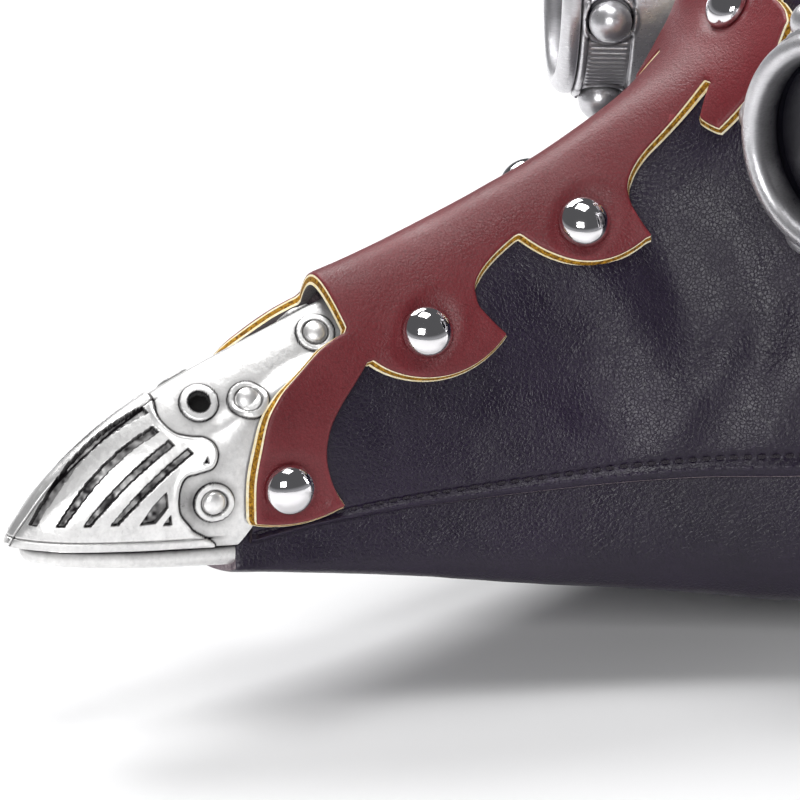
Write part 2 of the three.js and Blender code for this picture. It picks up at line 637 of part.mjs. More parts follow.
// ---------------------------------------------------------------- pads and edge binding
// A pad on the inside of the shell: a block between the shell's inner face and a set depth.
function pad(us, vs, depth) {
  return sheet(shellPoint, us, vs, -(LEATHER + 1), -depth);
}
const BROW_PAD_BACK = 9; // the flat face that rests on the forehead
function browPadPoint(u, v, h) {
  const p = shellPoint(u, v, -(LEATHER + 1));
  if (h < 0) p.y = BROW_PAD_BACK;
  return p;
}
add("brow_pad", sheet(browPadPoint, steps(6.08, 6.72, 4), steps(-0.78, 0.78, 8), 0, -1), FOAM);
for (const [name, side] of SIDES)
  add(`cheek_pad_${name}`, pad(steps(6.3, 6.85, 4), steps(side * 2.1, side * 2.62, 4), 10), FOAM);

// The folded leather edge round the face, a closed loop behind the edges of the panels.
const BINDING = { out: 0.6, deep: 4.6, start: 0.9, length: 3 };
function bindingRing(v) {
  const edge = shellFace(FACE_END, v);
  const out = normalOf(shellFace, FACE_END, v);
  const back = edge.clone().sub(shellFace(FACE_END - 0.1, v)).normalize();
  const corner = (h, b) => edge.clone().addScaledVector(out, h).addScaledVector(back, b);
  const { out: high, deep, start, length } = BINDING;
  const end = start + length;
  return [corner(high, start), corner(high, end), corner(-deep, end), corner(-deep, start)];
}
const halfBinding = [...steps(0, PANEL_SEAM, 10), ...steps(PANEL_SEAM, 5, 7).slice(1)];
const bindingVs = [...halfBinding.slice(1, -1).map((v) => -v).reverse(), ...halfBinding];
add("face_binding", closedRing(bindingVs.map(bindingRing)), BLACK_LEATHER);

function closedRing(rings) {
  const n = rings[0].length;
  const index = [];
  for (let i = 0; i < rings.length; i++)
    for (let j = 0; j < n; j++) {
      const [k, next] = [(j + 1) % n, (i + 1) % rings.length];
      index.push(i * n + j, i * n + k, next * n + j, i * n + k, next * n + k, next * n + j);
    }
  return facingOut(rings.flat(), index);
}

// ---------------------------------------------------------------- harness
// A flat strap swept along centre points, each with the direction that its outer face looks in.
function band(path, width, thickness) {
  return ringBody(
    path.map(({ at, out }, i) => {
      const ahead = (path[i + 1] ?? path[i]).at.clone().sub((path[i - 1] ?? path[i]).at);
      const across = out.clone().cross(ahead).normalize();
      const face = ahead.clone().cross(across).normalize();
      const corner = (w, t) => {
        const edge = at.clone().addScaledVector(across, (w * width) / 2);
        return edge.addScaledVector(face, (t * thickness) / 2);
      };
      return [corner(-1, -1), corner(1, -1), corner(1, 1), corner(-1, 1)];
    }),
  );
}
const plan = (x, y, outX, outY) => ({
  at: new THREE.Vector3(x, y, BAND_Z),
  out: new THREE.Vector3(outX, outY, 0),
});

// The stretch of a side strap that lies on the temple, following the shell backwards.
const TEMPLE = [[6.46, 1.43], [6.62, 1.5], [6.78, 1.56], [6.94, 1.62]];
const TEMPLE_LIFT = 1.2 + STRAP / 2; // centre of the strap over the leather
const templePath = TEMPLE.map(([u, v]) => ({
  at: shellPoint(u, v, TEMPLE_LIFT),
  out: normalOf(shellFace, u, v),
}));

const BAR_X = 81.5; // buckle: hinge bar and roller bar
const HINGE_Y = 80;
const ROLLER_Y = 96;
const BAR = 2; // section of the frame's bars
const FOLD_R = 2.6; // centre line of the strap's fold round the hinge bar

const foldArc = steps(0, Math.PI, 6).map((a) =>
  plan(BAR_X + FOLD_R * Math.cos(a), HINGE_Y + FOLD_R * Math.sin(a), Math.cos(a), Math.sin(a)),
);
const leftStrapPath = [
  ...templePath,
  plan(81.2, 54, 1, -0.3), plan(83.7, 61, 1, -0.2), plan(84.1, 68, 1, 0),
  ...foldArc,
  plan(79.3, 77.5, -1, 0), plan(81.2, 73.5, -1, 0), plan(81.8, 70, -1, 0), plan(81.8, 62, -1, 0),
];
const prongSlot = new THREE.BoxGeometry(14, 9, 4.6).translate(BAR_X, HINGE_Y + 1, BAND_Z);
add("left_strap", cut(band(leftStrapPath, BAND_WIDTH, STRAP), [prongSlot, ...templeHoles(1)]), RED_LEATHER);

const tailPath = [
  plan(86.5, 46, 1, 0), plan(86.7, 56, 1, 0), plan(86.7, 80, 1, 0), plan(86, 84, 1, 0.3),
  plan(82.4, 88.4, 1, 0.8), plan(79, 91.6, 1, 0.6), plan(77.6, 95, 1, 0), plan(77.6, 98, 1, 0),
  plan(78.4, 104, 1, 0),
];
const backArc = steps(0, Math.PI, 30).map((a) =>
  plan((HEAD_R - 2) * Math.cos(a), HEAD_Y + (HEAD_R - 2) * Math.sin(a), Math.cos(a), Math.sin(a)),
);
const rightRun = [
  plan(-81, 90, -1, 0), plan(-82, 70, -1, 0), plan(-81.4, 56, -1, -0.2),
  ...templePath.toReversed().map(({ at, out }) => ({ at: mirrorX(at), out: mirrorX(out) })),
];
const tongueSlot = new THREE.BoxGeometry(12, 11, 3.4).translate(82, 88.2, BAND_Z);
add(
  "rear_strap",
  cut(band([...tailPath, ...backArc, ...rightRun], BAND_WIDTH, STRAP), [tongueSlot, ...templeHoles(-1)]),
  RED_LEATHER,
);

// The crown strap, in the plane x = 0: up from the forehead, over the head and round the rear strap.
const REAR_Y = HEAD_Y + HEAD_R - 2;
const LOOP_R = 3.2;
const crown = (y, z, outY, outZ) => ({
  at: new THREE.Vector3(0, y, z),
  out: new THREE.Vector3(0, outY, outZ),
});
const crownStart = [6.34, 6.56, 6.78, 7].map((u) => ({
  at: shellPoint(u, 0, TEMPLE_LIFT),
  out: normalOf(shellFace, u, 0),
}));
const crownPath = [
  ...crownStart,
  crown(-2.5, 72, -1, 0.4), crown(6, 88, -1, 0.6), crown(22, 104, -0.7, 0.8), crown(44, 115, -0.4, 1),
  crown(70, 120, -0.1, 1), crown(98, 120, 0.1, 1), crown(126, 114, 0.4, 1), crown(151, 101, 0.7, 0.8),
  crown(172, 81, 0.9, 0.6), crown(186, 58, 1, 0.3), crown(REAR_Y + LOOP_R, 38, 1, 0),
  ...steps(0, Math.PI, 6).map((a) =>
    crown(REAR_Y + LOOP_R * Math.cos(a), BAND_Z - 11 - LOOP_R * Math.sin(a), Math.cos(a), -Math.sin(a)),
  ),
  crown(REAR_Y - LOOP_R, 38, -1, 0), crown(REAR_Y - LOOP_R, 46, -1, 0),
];
add("crown_strap", cut(band(crownPath, BAND_WIDTH, STRAP), crownHoles), RED_LEATHER);

const harnessRivet = (u, v, side) => {
  const h = TEMPLE_LIFT + STRAP / 2 + GAP;
  const shape = rivetShape(RIVET_R - 0.6, RIVET_HEIGHT - 0.6, h + LEATHER + 0.4, SHANK_R);
  return stand(shape, mirrored(shellPoint(u, v, h), side), mirrored(normalOf(shellFace, u, v), side));
};
for (const [name, side] of SIDES)
  TEMPLE_RIVETS.forEach(([u, v], k) => {
    add(`temple_rivet_${name}_${k + 1}`, harnessRivet(u, v, side), CHROME);
  });
CROWN_RIVETS.forEach((u, k) => add(`crown_rivet_${k + 1}`, harnessRivet(u, 0, 1), CHROME));

// Roller buckle: the frame hinges in the strap's fold, the prong swings on the same bar and rests on
// the roller, which turns on the far bar.
const FRAME_HALF = 13; // half the frame's height
const box = (x, y, z, at) => toManifold(new THREE.BoxGeometry(x, y, z).translate(...at));
const sideBarY = (HINGE_Y + ROLLER_Y) / 2;
const frameLength = ROLLER_Y - HINGE_Y + BAR;
const frame = [HINGE_Y, ROLLER_Y]
  .map((y) => box(BAR, BAR, 2 * FRAME_HALF + BAR, [BAR_X, y, BAND_Z]))
  .concat([-1, 1].map((end) => box(BAR, frameLength, BAR, [BAR_X, sideBarY, BAND_Z + end * FRAME_HALF])))
  .reduce((whole, bar) => whole.add(bar));
add("buckle_frame", toGeometry(frame), CHROME);

const upright = (geometry, x, y) => geometry.translate(x, y, BAND_Z);
add("buckle_roller", upright(turned(ring(1.75, 2.4, -10.6, 10.6), 16), BAR_X, ROLLER_Y), CHROME);

const prongEye = turned(ring(1.75, 2.9, -1.1, 1.1), 14).translate(BAR_X, HINGE_Y, BAND_Z);
const prongArm = [[2.1, 0], [2.6, 5], [3.4, 10], [3.9, 15], [3.4, 18.6]];
const prong = ringBody(
  prongArm.map(([x, y]) =>
    [[-1, -1], [1, -1], [1, 1], [-1, 1]].map(
      ([a, b]) => new THREE.Vector3(BAR_X + x + 0.8 * a, HINGE_Y + y, BAND_Z + 1.1 * b),
    ),
  ),
);
const eyeBore = turned(disc(1.75, -3, 3), 14).translate(BAR_X, HINGE_Y, BAND_Z);
add(
  "buckle_prong",
  toGeometry(toManifold(prong).add(toManifold(prongEye)).subtract(toManifold(eyeBore))),
  CHROME,
);

// Keeper loop round the strap and its tail.
const KEEPER = { x: 83.95, y: 65, halfX: 4.1, halfZ: 10.5, wall: 1.5, width: 7 };
const { x: keeperX, y: keeperY, halfX, halfZ, wall, width } = KEEPER;
const keeperOut = new THREE.BoxGeometry(2 * (halfX + wall), width, 2 * (halfZ + wall));
const keeperIn = new THREE.BoxGeometry(2 * halfX, width + 2, 2 * halfZ);
add(
  "strap_keeper",
  cut(keeperOut.translate(keeperX, keeperY, BAND_Z), [keeperIn.translate(keeperX, keeperY, BAND_Z)]),
  RED_LEATHER,
);

export default group;
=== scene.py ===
import math

import bpy
import numpy as np
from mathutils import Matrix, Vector
from mathutils.geometry import delaunay_2d_cdt
from mathutils.kdtree import KDTree


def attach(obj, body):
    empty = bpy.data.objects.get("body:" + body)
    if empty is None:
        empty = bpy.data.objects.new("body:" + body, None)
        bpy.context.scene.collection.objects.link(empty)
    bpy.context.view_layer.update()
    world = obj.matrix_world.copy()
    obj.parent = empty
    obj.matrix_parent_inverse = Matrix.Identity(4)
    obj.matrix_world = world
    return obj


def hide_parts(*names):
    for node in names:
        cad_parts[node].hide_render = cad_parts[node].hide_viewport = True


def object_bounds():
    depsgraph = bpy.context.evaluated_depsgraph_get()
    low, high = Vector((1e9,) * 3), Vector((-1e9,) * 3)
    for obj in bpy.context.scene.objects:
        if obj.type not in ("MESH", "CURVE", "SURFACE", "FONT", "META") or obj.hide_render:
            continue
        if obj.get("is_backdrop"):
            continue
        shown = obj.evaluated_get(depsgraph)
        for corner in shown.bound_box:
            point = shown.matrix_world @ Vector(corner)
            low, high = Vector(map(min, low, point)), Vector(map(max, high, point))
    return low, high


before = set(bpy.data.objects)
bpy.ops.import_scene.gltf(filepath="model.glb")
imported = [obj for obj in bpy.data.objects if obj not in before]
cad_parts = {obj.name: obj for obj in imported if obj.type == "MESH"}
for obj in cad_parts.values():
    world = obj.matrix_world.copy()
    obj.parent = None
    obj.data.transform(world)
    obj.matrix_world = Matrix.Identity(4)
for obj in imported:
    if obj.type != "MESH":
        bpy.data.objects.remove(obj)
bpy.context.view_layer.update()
scene = bpy.context.scene
MM = 0.001
SIDES = (("left", 1), ("right", -1))
rng = np.random.default_rng(7)

# ---------------------------------------------------------------- surfaces, in millimetres
SHELL = [
    [
        (0, -121, -31.2), (9.6, -122, -40), (12.6, -136, -52.5), (14.2, -140.5, -70.5), (14.6, -141.5, -77),
        (0, -142.5, -80.4),
    ],
    [
        (0, -104, -27.2), (10.2, -105, -36), (15.4, -108, -51), (18, -112, -66.8), (19.2, -112, -80.8),
        (0, -113, -85),
    ],
    [(0, -76, -17.6), (12, -76, -28), (20.2, -77, -46), (26.5, -79, -64), (28.4, -81, -84.6), (0, -82, -90)],
    [(0, -55, -8), (13.5, -53, -18.5), (25, -52, -38), (34.5, -57, -62.3), (36.5, -55, -88), (0, -56, -94)],
    [(0, -40, 0.8), (17, -38.5, -6.5), (34, -30, -30), (43, -38, -61.8), (44.5, -36, -90.3), (0, -36, -98)],
    [(0, -28, 12), (25, -28, 6), (47, -21, -30), (53, -20, -61), (52, -16, -89.5), (0, -22, -101.5)],
    [(0, -18, 35), (42, -14, 30), (71, -1, -14), (66, 8, -58), (58, 6, -86), (0, -14, -104)],
    [(0, -8, 58), (52, 8, 50), (79, 52, 6), (74, 46, -48), (56, 20, -82), (0, -12, -104)],
]
TIP = [
    [(0, -111, -32), (6.6, -112.5, -38.2), (10.2, -126, -52.5), (10.6, -131, -62)],
    [(0, -121, -35.3), (7, -122, -41.5), (11.2, -134.5, -54), (12.6, -138.8, -71.8)],
    [(0, -141, -42.4), (7.2, -141, -48), (11.6, -143, -58), (12.8, -144, -71.4)],
    [(0, -155, -48.9), (6, -155, -53.5), (9.4, -155.5, -61), (10.6, -156, -70.6)],
    [(0, -167, -57.4), (4.2, -167, -60.6), (6.2, -167, -64.6), (7, -167.5, -69.9)],
    [(0, -173.5, -64.4), (2, -173.7, -66), (2.8, -173.8, -67.6), (3, -174, -69.5)],
    [(0, -176, -67.8), (0.5, -176.1, -68.3), (0.7, -176.2, -68.8), (0.7, -176.2, -69.2)],
]
MIRROR = np.array([-1.0, 1.0, 1.0])
FACE_END = 7.0
LEATHER = 1.8
SEAT_FLAT, SEAT_BLEND = 24.5, 33.0


def goggle_axis(side):
    out, up = math.radians(22), math.radians(2.5)
    return np.array([side * math.sin(out) * math.cos(up), -math.cos(out) * math.cos(up), math.sin(up)])


def goggle_centre(side):
    return np.array([side * 45.4, -19.8, 0.4])


def smooth(x, low, high):
    t = np.clip((x - low) / (high - low), 0, 1)
    return t * t * (3 - 2 * t)


def seated(p):
    """The shell is flattened round each goggle, so that its drum has a level seat."""
    side = np.where(p[..., :1] < 0, -1.0, 1.0)
    axis = goggle_axis(1) * np.concatenate([side, np.ones_like(side), np.ones_like(side)], -1)
    centre = goggle_centre(1) * np.concatenate([side, np.ones_like(side), np.ones_like(side)], -1)
    off = ((p - centre) * axis).sum(-1, keepdims=True)
    r = np.linalg.norm(p - centre - off * axis, axis=-1, keepdims=True)
    return p - axis * off * (1 - smooth(r, SEAT_FLAT, SEAT_BLEND))


class Loft:
    """A smooth half surface through stations of points, mirrored where v is negative."""

    def __init__(self, stations, keel, seat, turn=1.0):
        s = np.array(stations, float)
        end = s[:, -2:-1] * MIRROR if keel else 2 * s[:, -1:] - s[:, -2:-1]
        s = np.concatenate([s[:, 1:2] * MIRROR, s, end], 1)
        self.grid = np.concatenate([2 * s[:1] - s[1:2], s, 2 * s[-1:] - s[-2:-1]])
        self.seat, self.turn = seat, turn

    @staticmethod
    def weights(t):
        w = [-t + 2 * t**2 - t**3, 2 - 5 * t**2 + 3 * t**3, t + 4 * t**2 - 3 * t**3, t**3 - t**2]
        return [0.5 * x for x in w]

    def face(self, u, v):
        u, v = np.broadcast_arrays(np.asarray(u, float), np.asarray(v, float))
        n, m = self.grid.shape[0] - 3, self.grid.shape[1] - 3
        i = np.clip(np.floor(u), 0, n - 1).astype(int)
        j = np.clip(np.floor(np.abs(v)), 0, m - 1).astype(int)
        wu, wv = self.weights(u - i), self.weights(np.abs(v) - j)
        p = sum(
            (wu[a] * wv[b])[..., None] * self.grid[i + a, j + b] for a in range(4) for b in range(4)
        )
        p = seated(p) if self.seat else p
        return np.where((v < 0)[..., None], p * MIRROR, p)

    def normal(self, u, v):
        step = 0.02
        du = self.face(u + step, v) - self.face(u - step, v)
        dv = self.face(u, v + step) - self.face(u, v - step)
        n = np.cross(dv, du) * self.turn
        return n / np.maximum(np.linalg.norm(n, axis=-1, keepdims=True), 1e-9)

    def point(self, u, v, h):
        u, v = np.broadcast_arrays(np.asarray(u, float), np.asarray(v, float))
        return self.face(u, v) + self.normal(u, v) * np.asarray(h, float)[..., None]


shell = Loft(SHELL, True, True)
tip = Loft(TIP, False, False, -1.0)

# Pattern coordinates on the shell: s mm along the ridge, g mm round the section from the ridge.
ROW_U = np.linspace(-0.2, FACE_END, 111)
_rows = shell.face(ROW_U[:, None], np.linspace(0, 3, 37)[None])
ROW_G = np.concatenate(
    [np.zeros((111, 1)), np.linalg.norm(np.diff(_rows, axis=1), axis=-1).cumsum(1)], 1
)
ROW_S = np.concatenate([[0], np.linalg.norm(np.diff(_rows[:, 0], axis=0), axis=-1).cumsum()])
ROW_S -= np.linalg.norm(shell.face(-0.2, 0) - shell.face(0, 0))


def pattern_uv(s, g):
    s, g = np.broadcast_arrays(np.asarray(s, float), np.asarray(g, float))
    i = np.clip((ROW_S[None] < s.ravel()[:, None]).sum(1), 1, 110)
    share = (s.ravel() - ROW_S[i - 1]) / (ROW_S[i] - ROW_S[i - 1])

    def girth_v(rows):
        a = np.abs(g).ravel()
        j = np.clip((ROW_G[rows] < a[:, None]).sum(1), 1, 36)
        low, high = ROW_G[rows, j - 1], ROW_G[rows, j]
        return 3 * (j - 1 + (a - low) / (high - low)) / 36

    v = girth_v(i - 1) * (1 - share) + girth_v(i) * share
    u = ROW_U[i - 1] * (1 - share) + ROW_U[i] * share
    return u.reshape(s.shape), np.where(g < 0, -1, 1) * v.reshape(s.shape)


_lattice = rng.random((24, 24, 24))


def noise(p, size):
    """Smooth value noise from -1 to 1, whose lumps are about size mm across."""
    q = np.asarray(p, float) / size + 100.0
    i = np.floor(q).astype(int)
    f = q - i
    f = f * f * (3 - 2 * f)
    total = 0
    for a in (0, 1):
        for b in (0, 1):
            for c in (0, 1):
                w = (f[..., 0] if a else 1 - f[..., 0]) * (f[..., 1] if b else 1 - f[..., 1])
                w = w * (f[..., 2] if c else 1 - f[..., 2])
                corner = (i + [a, b, c]) % 24
                total = total + w * _lattice[corner[..., 0], corner[..., 1], corner[..., 2]]
    return 2 * total - 1


# ---------------------------------------------------------------- camera, light and floor
def place_camera():
    turn, rise = math.radians(64), math.radians(21)
    ahead = Vector((-math.sin(turn) * math.cos(rise), math.cos(turn) * math.cos(rise), -math.sin(rise)))
    data = bpy.data.cameras.new("camera")
    data.lens, data.sensor_width = 396.0, 36.0
    data.clip_start, data.clip_end = 0.05, 20
    camera = bpy.data.objects.new("camera", data)
    camera.location = Vector((0, -0.0982, -0.0547)) - 1.6 * ahead
    camera.rotation_mode = "QUATERNION"
    camera.rotation_quaternion = ahead.to_track_quat("-Z", "Y")
    scene.collection.objects.link(camera)
    scene.camera = camera


def softbox(name, at, aim, size, power, tall=None):
    data = bpy.data.lights.new(name, "AREA")
    data.shape = "RECTANGLE"
    data.size, data.size_y = size, tall or size
    data.energy = power
    lamp = bpy.data.objects.new(name, data)
    lamp.location = at
    lamp.rotation_mode = "QUATERNION"
    lamp.rotation_quaternion = (Vector(aim) - Vector(at)).to_track_quat("-Z", "Y")
    scene.collection.objects.link(lamp)


place_camera()
softbox("top_light", (0.05, -0.1, 1.2), (0, -0.02, -0.05), 0.7, 7, 0.5)
softbox("back_light", (-0.85, -0.15, 0.95), (0, -0.05, -0.05), 0.8, 14, 0.6)
softbox("key_light", (1.42, -1.0, 0.78), (0, -0.08, -0.05), 0.7, 15, 0.55)
softbox("right_light", (0.6, 1.15, 0.42), (0, -0.05, -0.03), 0.3, 6, 0.6)


def studio_world():
    """A room that is pale near the horizon and dimmer overhead."""
    world = bpy.data.worlds.new("studio")
    world.use_nodes = True
    nodes, links = world.node_tree.nodes, world.node_tree.links
    nodes["Background"].inputs["Color"].default_value = (0.95, 0.96, 1.0, 1)
    place, split, height = (nodes.new(f"ShaderNode{n}") for n in ("TexCoord", "SeparateXYZ", "MapRange"))
    for socket, value in (("From Min", 0.02), ("From Max", 0.2), ("To Min", 0.38), ("To Max", 0.1)):
        height.inputs[socket].default_value = value
    links.new(place.outputs["Generated"], split.inputs[0])
    links.new(split.outputs["Z"], height.inputs["Value"])
    links.new(height.outputs["Result"], nodes["Background"].inputs["Strength"])
    return world


scene.world = studio_world()
scene.view_settings.view_transform = "Standard"


# ---------------------------------------------------------------- materials
def linear(rgb):
    return tuple(((c / 255 + 0.055) / 1.055) ** 2.4 if c > 10 else c / 255 / 12.92 for c in rgb)


class Paint:
    """A node material in the making: each method adds a node and returns its output."""

    def __init__(self, name, **sockets):
        self.material = bpy.data.materials.new(name)
        self.material.use_nodes = True
        self.tree = self.material.node_tree
        self.shader = self.tree.nodes["Principled BSDF"]
        self.place = self.tree.nodes.new("ShaderNodeTexCoord").outputs["Object"]
        self.set(**sockets)

    def set(self, **sockets):
        for key, value in sockets.items():
            socket = self.shader.inputs[key.replace("_", " ")]
            if isinstance(value, bpy.types.NodeSocket):
                self.tree.links.new(value, socket)
            else:
                socket.default_value = value
        return self

    def node(self, kind, output, inputs=(), **settings):
        made = self.tree.nodes.new("ShaderNode" + kind)
        for key, value in settings.items():
            setattr(made, key, value)
        for key, value in dict(inputs).items():
            if isinstance(value, bpy.types.NodeSocket):
                self.tree.links.new(value, made.inputs[key])
            else:
                made.inputs[key].default_value = value
        return made.outputs[output]

    def noise(self, scale, detail=3.0, rough=0.55, distortion=0.0, place=None):
        inputs = {"Vector": place or self.place, "Scale": scale, "Detail": detail, "Roughness": rough}
        return self.node("TexNoise", "Fac", {**inputs, "Distortion": distortion})

    def cells(self, scale, feature="F1", place=None):
        inputs = {"Vector": place or self.place, "Scale": scale}
        return self.node("TexVoronoi", "Distance", inputs, feature=feature)

    def stretched(self, scale):
        return self.node("Mapping", "Vector", {"Vector": self.place, "Scale": scale})

    def ramp(self, value, low, high, to_low=0.0, to_high=1.0):
        inputs = {"Value": value, "From Min": low, "From Max": high, "To Min": to_low, "To Max": to_high}
        return self.node("MapRange", "Result", inputs)

    def blend(self, share, a, b, kind="MIX"):
        made = self.tree.nodes.new("ShaderNodeMix")
        made.data_type, made.blend_type = "RGBA", kind
        for index, value in ((0, share), (6, a), (7, b)):
            if isinstance(value, bpy.types.NodeSocket):
                self.tree.links.new(value, made.inputs[index])
            elif index == 0:
                made.inputs[0].default_value = value
            else:
                made.inputs[index].default_value = (*value, 1)
        return made.outputs[2]

    def maths(self, how, a, b=0.0):
        return self.node("Math", "Value", {0: a, 1: b}, operation=how)

    def bump(self, height, strength, distance, under=None):
        inputs = {"Height": height, "Strength": strength, "Distance": distance}
        if under:
            inputs["Normal"] = under
        return self.node("Bump", "Normal", inputs)

    def attribute(self, name):
        return self.node("Attribute", "Fac", attribute_name=name)


def leather(name, dark, light, grain, depth, rough, crease=0.35):
    """Grained leather: pebbles of the given grain in mm between fine furrows, with soft creases."""
    p = Paint(name, Specular_IOR_Level=0.4)
    swirl = p.node("TexNoise", "Color", {"Vector": p.place, "Scale": 420.0})
    scaled = p.node("VectorMath", "Vector", {0: swirl, "Scale": 0.0006}, operation="SCALE")
    moved = p.node("VectorMath", "Vector", {0: p.place, 1: scaled}, operation="ADD")
    pebbles = p.cells(1000 / grain, "SMOOTH_F1", moved)
    furrows = p.cells(1000 / (grain * 1.15), "DISTANCE_TO_EDGE", moved)
    fine = p.noise(3200.0, 3, 0.6)
    creases = p.noise(60.0, 4, 0.55, 0.4)
    tone = p.blend(p.ramp(p.noise(30.0, 4), 0.3, 0.7), dark, light)
    tone = p.blend(p.ramp(furrows, 0.0, 0.16, 0.45, 0.0), tone, tuple(c * 0.45 for c in dark))
    tone = p.blend(p.ramp(p.noise(1100.0, 3), 0.4, 0.75, 0.0, 0.25), tone, light)
    # Convex ridges and edges turn lighter: partly rubbed wear, partly a painted highlight on the ridges.
    wear_and_highlight = p.node("NewGeometry", "Pointiness")
    tone = p.blend(p.ramp(wear_and_highlight, 0.515, 0.57, 0.0, 0.35), tone, tuple(min(1, c * 2.0 + 0.01) for c in light))
    low = p.bump(p.maths("ADD", creases, p.maths("MULTIPLY", p.noise(18.0, 3), 1.6)), crease, 0.0011)
    mid = p.bump(p.ramp(furrows, 0.0, 0.14), depth * 0.55, 0.00012, low)
    high = p.bump(p.maths("ADD", pebbles, p.maths("MULTIPLY", fine, 0.4)), depth, 0.00016, mid)
    gloss = p.ramp(p.noise(120.0, 4), 0.3, 0.7, rough - 0.06, rough + 0.08)
    p.set(Base_Color=tone, Roughness=gloss, Normal=high)
    return p.material


def cut_edge(name, a, b, scale, depth):
    """The raw edge of cut leather: fibres packed along the cut."""
    p = Paint(name, Specular_IOR_Level=0.25, Roughness=0.85)
    grit = p.noise(scale, 5, 0.7)
    tone = p.blend(p.ramp(grit, 0.38, 0.62), a, b)
    tone = p.blend(p.ramp(p.noise(scale / 6, 3), 0.4, 0.7, 0.0, 0.6), tone, a)
    p.set(Base_Color=tone, Normal=p.bump(grit, depth, 0.0004))
    return p.material


def antique(name, light, dark, rough, streak=(1, 1, 1)):
    """Cast white metal, polished on its high places and left dark in its recesses; a per-point attribute
    darkens it further, with real patina in the hollows and painted shade beside raised parts and at joins.
    """
    p = Paint(name, Metallic=0.82)
    patina_and_shade = p.attribute("patina_and_shade")
    cloud = p.noise(160.0, 6, 0.65)
    specks = p.ramp(p.noise(1500.0, 4, 0.7), 0.58, 0.72)
    brushed = p.noise(900.0, 3, 0.6, 0.0, p.stretched(streak))
    # Random stains and specks are added to the per-point darkening, which is partly real patina and partly
    # painted shade.
    stain_and_shade = p.maths("ADD", patina_and_shade, p.ramp(cloud, 0.5, 0.8, 0.0, 0.14))
    stain_and_shade = p.maths("ADD", stain_and_shade, p.maths("MULTIPLY", specks, p.ramp(cloud, 0.45, 0.7, 0.0, 0.25)))
    stain_and_shade = p.node("Clamp", "Result", {"Value": stain_and_shade})
    tone = p.blend(p.ramp(brushed, 0.35, 0.7), light, tuple(c * 0.86 for c in light))
    tone = p.blend(stain_and_shade, tone, dark)
    wear_and_highlight = p.ramp(brushed, 0.3, 0.7, rough - 0.05, rough + 0.06)
    gloss = p.maths("ADD", wear_and_highlight, p.maths("MULTIPLY", stain_and_shade, 0.3))
    low = p.bump(p.noise(240.0, 4, 0.6), 0.25, 0.0006)
    p.set(Base_Color=tone, Roughness=gloss, Normal=p.bump(brushed, 0.12, 0.00012, low))
    return p.material


def polished(name, tone, rough):
    """Polished plate with hairline scratches and a trace of handling."""
    p = Paint(name, Metallic=1.0)
    hair = p.noise(700.0, 4, 0.6, 0.0, p.stretched((1, 6, 1)))
    smear = p.noise(90.0, 3)
    p.set(
        Base_Color=p.blend(p.ramp(smear, 0.4, 0.8, 0.0, 0.3), tone, tuple(c * 0.8 for c in tone)),
        Roughness=p.ramp(smear, 0.35, 0.75, rough, rough + 0.07),
        Normal=p.bump(hair, 0.04, 0.0001),
    )
    return p.material


def knitted(name, tone):
    """A fine knitted pad cover."""
    p = Paint(name, Roughness=0.95, Sheen_Weight=0.35, Sheen_Roughness=0.4)
    band = {"Vector": p.place, "Scale": 330.0, "Distortion": 1.5}
    rows = p.node("TexWave", "Fac", band, bands_direction="Z")
    loops = p.node("TexWave", "Fac", band, bands_direction="X")
    weave = p.maths("MULTIPLY", rows, loops)
    cloud = p.ramp(p.noise(60.0, 4), 0.3, 0.7)
    tone_at = p.blend(cloud, tone, tuple(c * 1.6 for c in tone))
    shaded = tuple(c * 0.45 for c in tone)
    p.set(Base_Color=p.blend(weave, shaded, tone_at), Normal=p.bump(weave, 0.6, 0.0005))
    return p.material


def thread(name, tone):
    """Twisted waxed thread."""
    p = Paint(name, Roughness=0.6, Sheen_Weight=0.2)
    band = {"Vector": p.place, "Scale": 900.0, "Distortion": 2.0}
    twist = p.node("TexWave", "Fac", band, bands_direction="DIAGONAL")
    p.set(Base_Color=p.blend(twist, tuple(c * 0.4 for c in tone), tone), Normal=p.bump(twist, 0.5, 0.0002))
    return p.material


def suede(name, tone):
    """The flesh side of the leather: short matted fibres."""
    p = Paint(name, Roughness=0.95, Sheen_Weight=0.3, Sheen_Roughness=0.5)
    nap = p.noise(1400.0, 5, 0.7)
    cloud = p.noise(45.0, 4)
    low = p.blend(p.ramp(cloud, 0.3, 0.7), tone, tuple(c * 1.7 for c in tone))
    p.set(Base_Color=p.blend(p.ramp(nap, 0.4, 0.65, 0.0, 0.6), low, tuple(c * 0.5 for c in tone)))
    p.set(Normal=p.bump(nap, 0.5, 0.0004))
    return p.material


def rubber(name, tone):
    p = Paint(name, Roughness=0.7)
    dust = p.noise(300.0, 5)
    dusty = tuple(c * 2.5 for c in tone)
    p.set(Base_Color=p.blend(p.ramp(dust, 0.4, 0.8), tone, dusty), Normal=p.bump(dust, 0.2, 0.0003))
    return p.material


def tinted_glass(name):
    p = Paint(name, Specular_IOR_Level=0.6, Coat_Weight=1.0, Coat_Roughness=0.02)
    haze = p.noise(55.0, 4)
    p.set(
        Base_Color=p.blend(p.ramp(haze, 0.3, 0.8), (0.006, 0.006, 0.009), (0.014, 0.013, 0.02)),
        Roughness=p.ramp(haze, 0.4, 0.8, 0.04, 0.12),
        Transmission_Weight=0.35,
    )
    return p.material


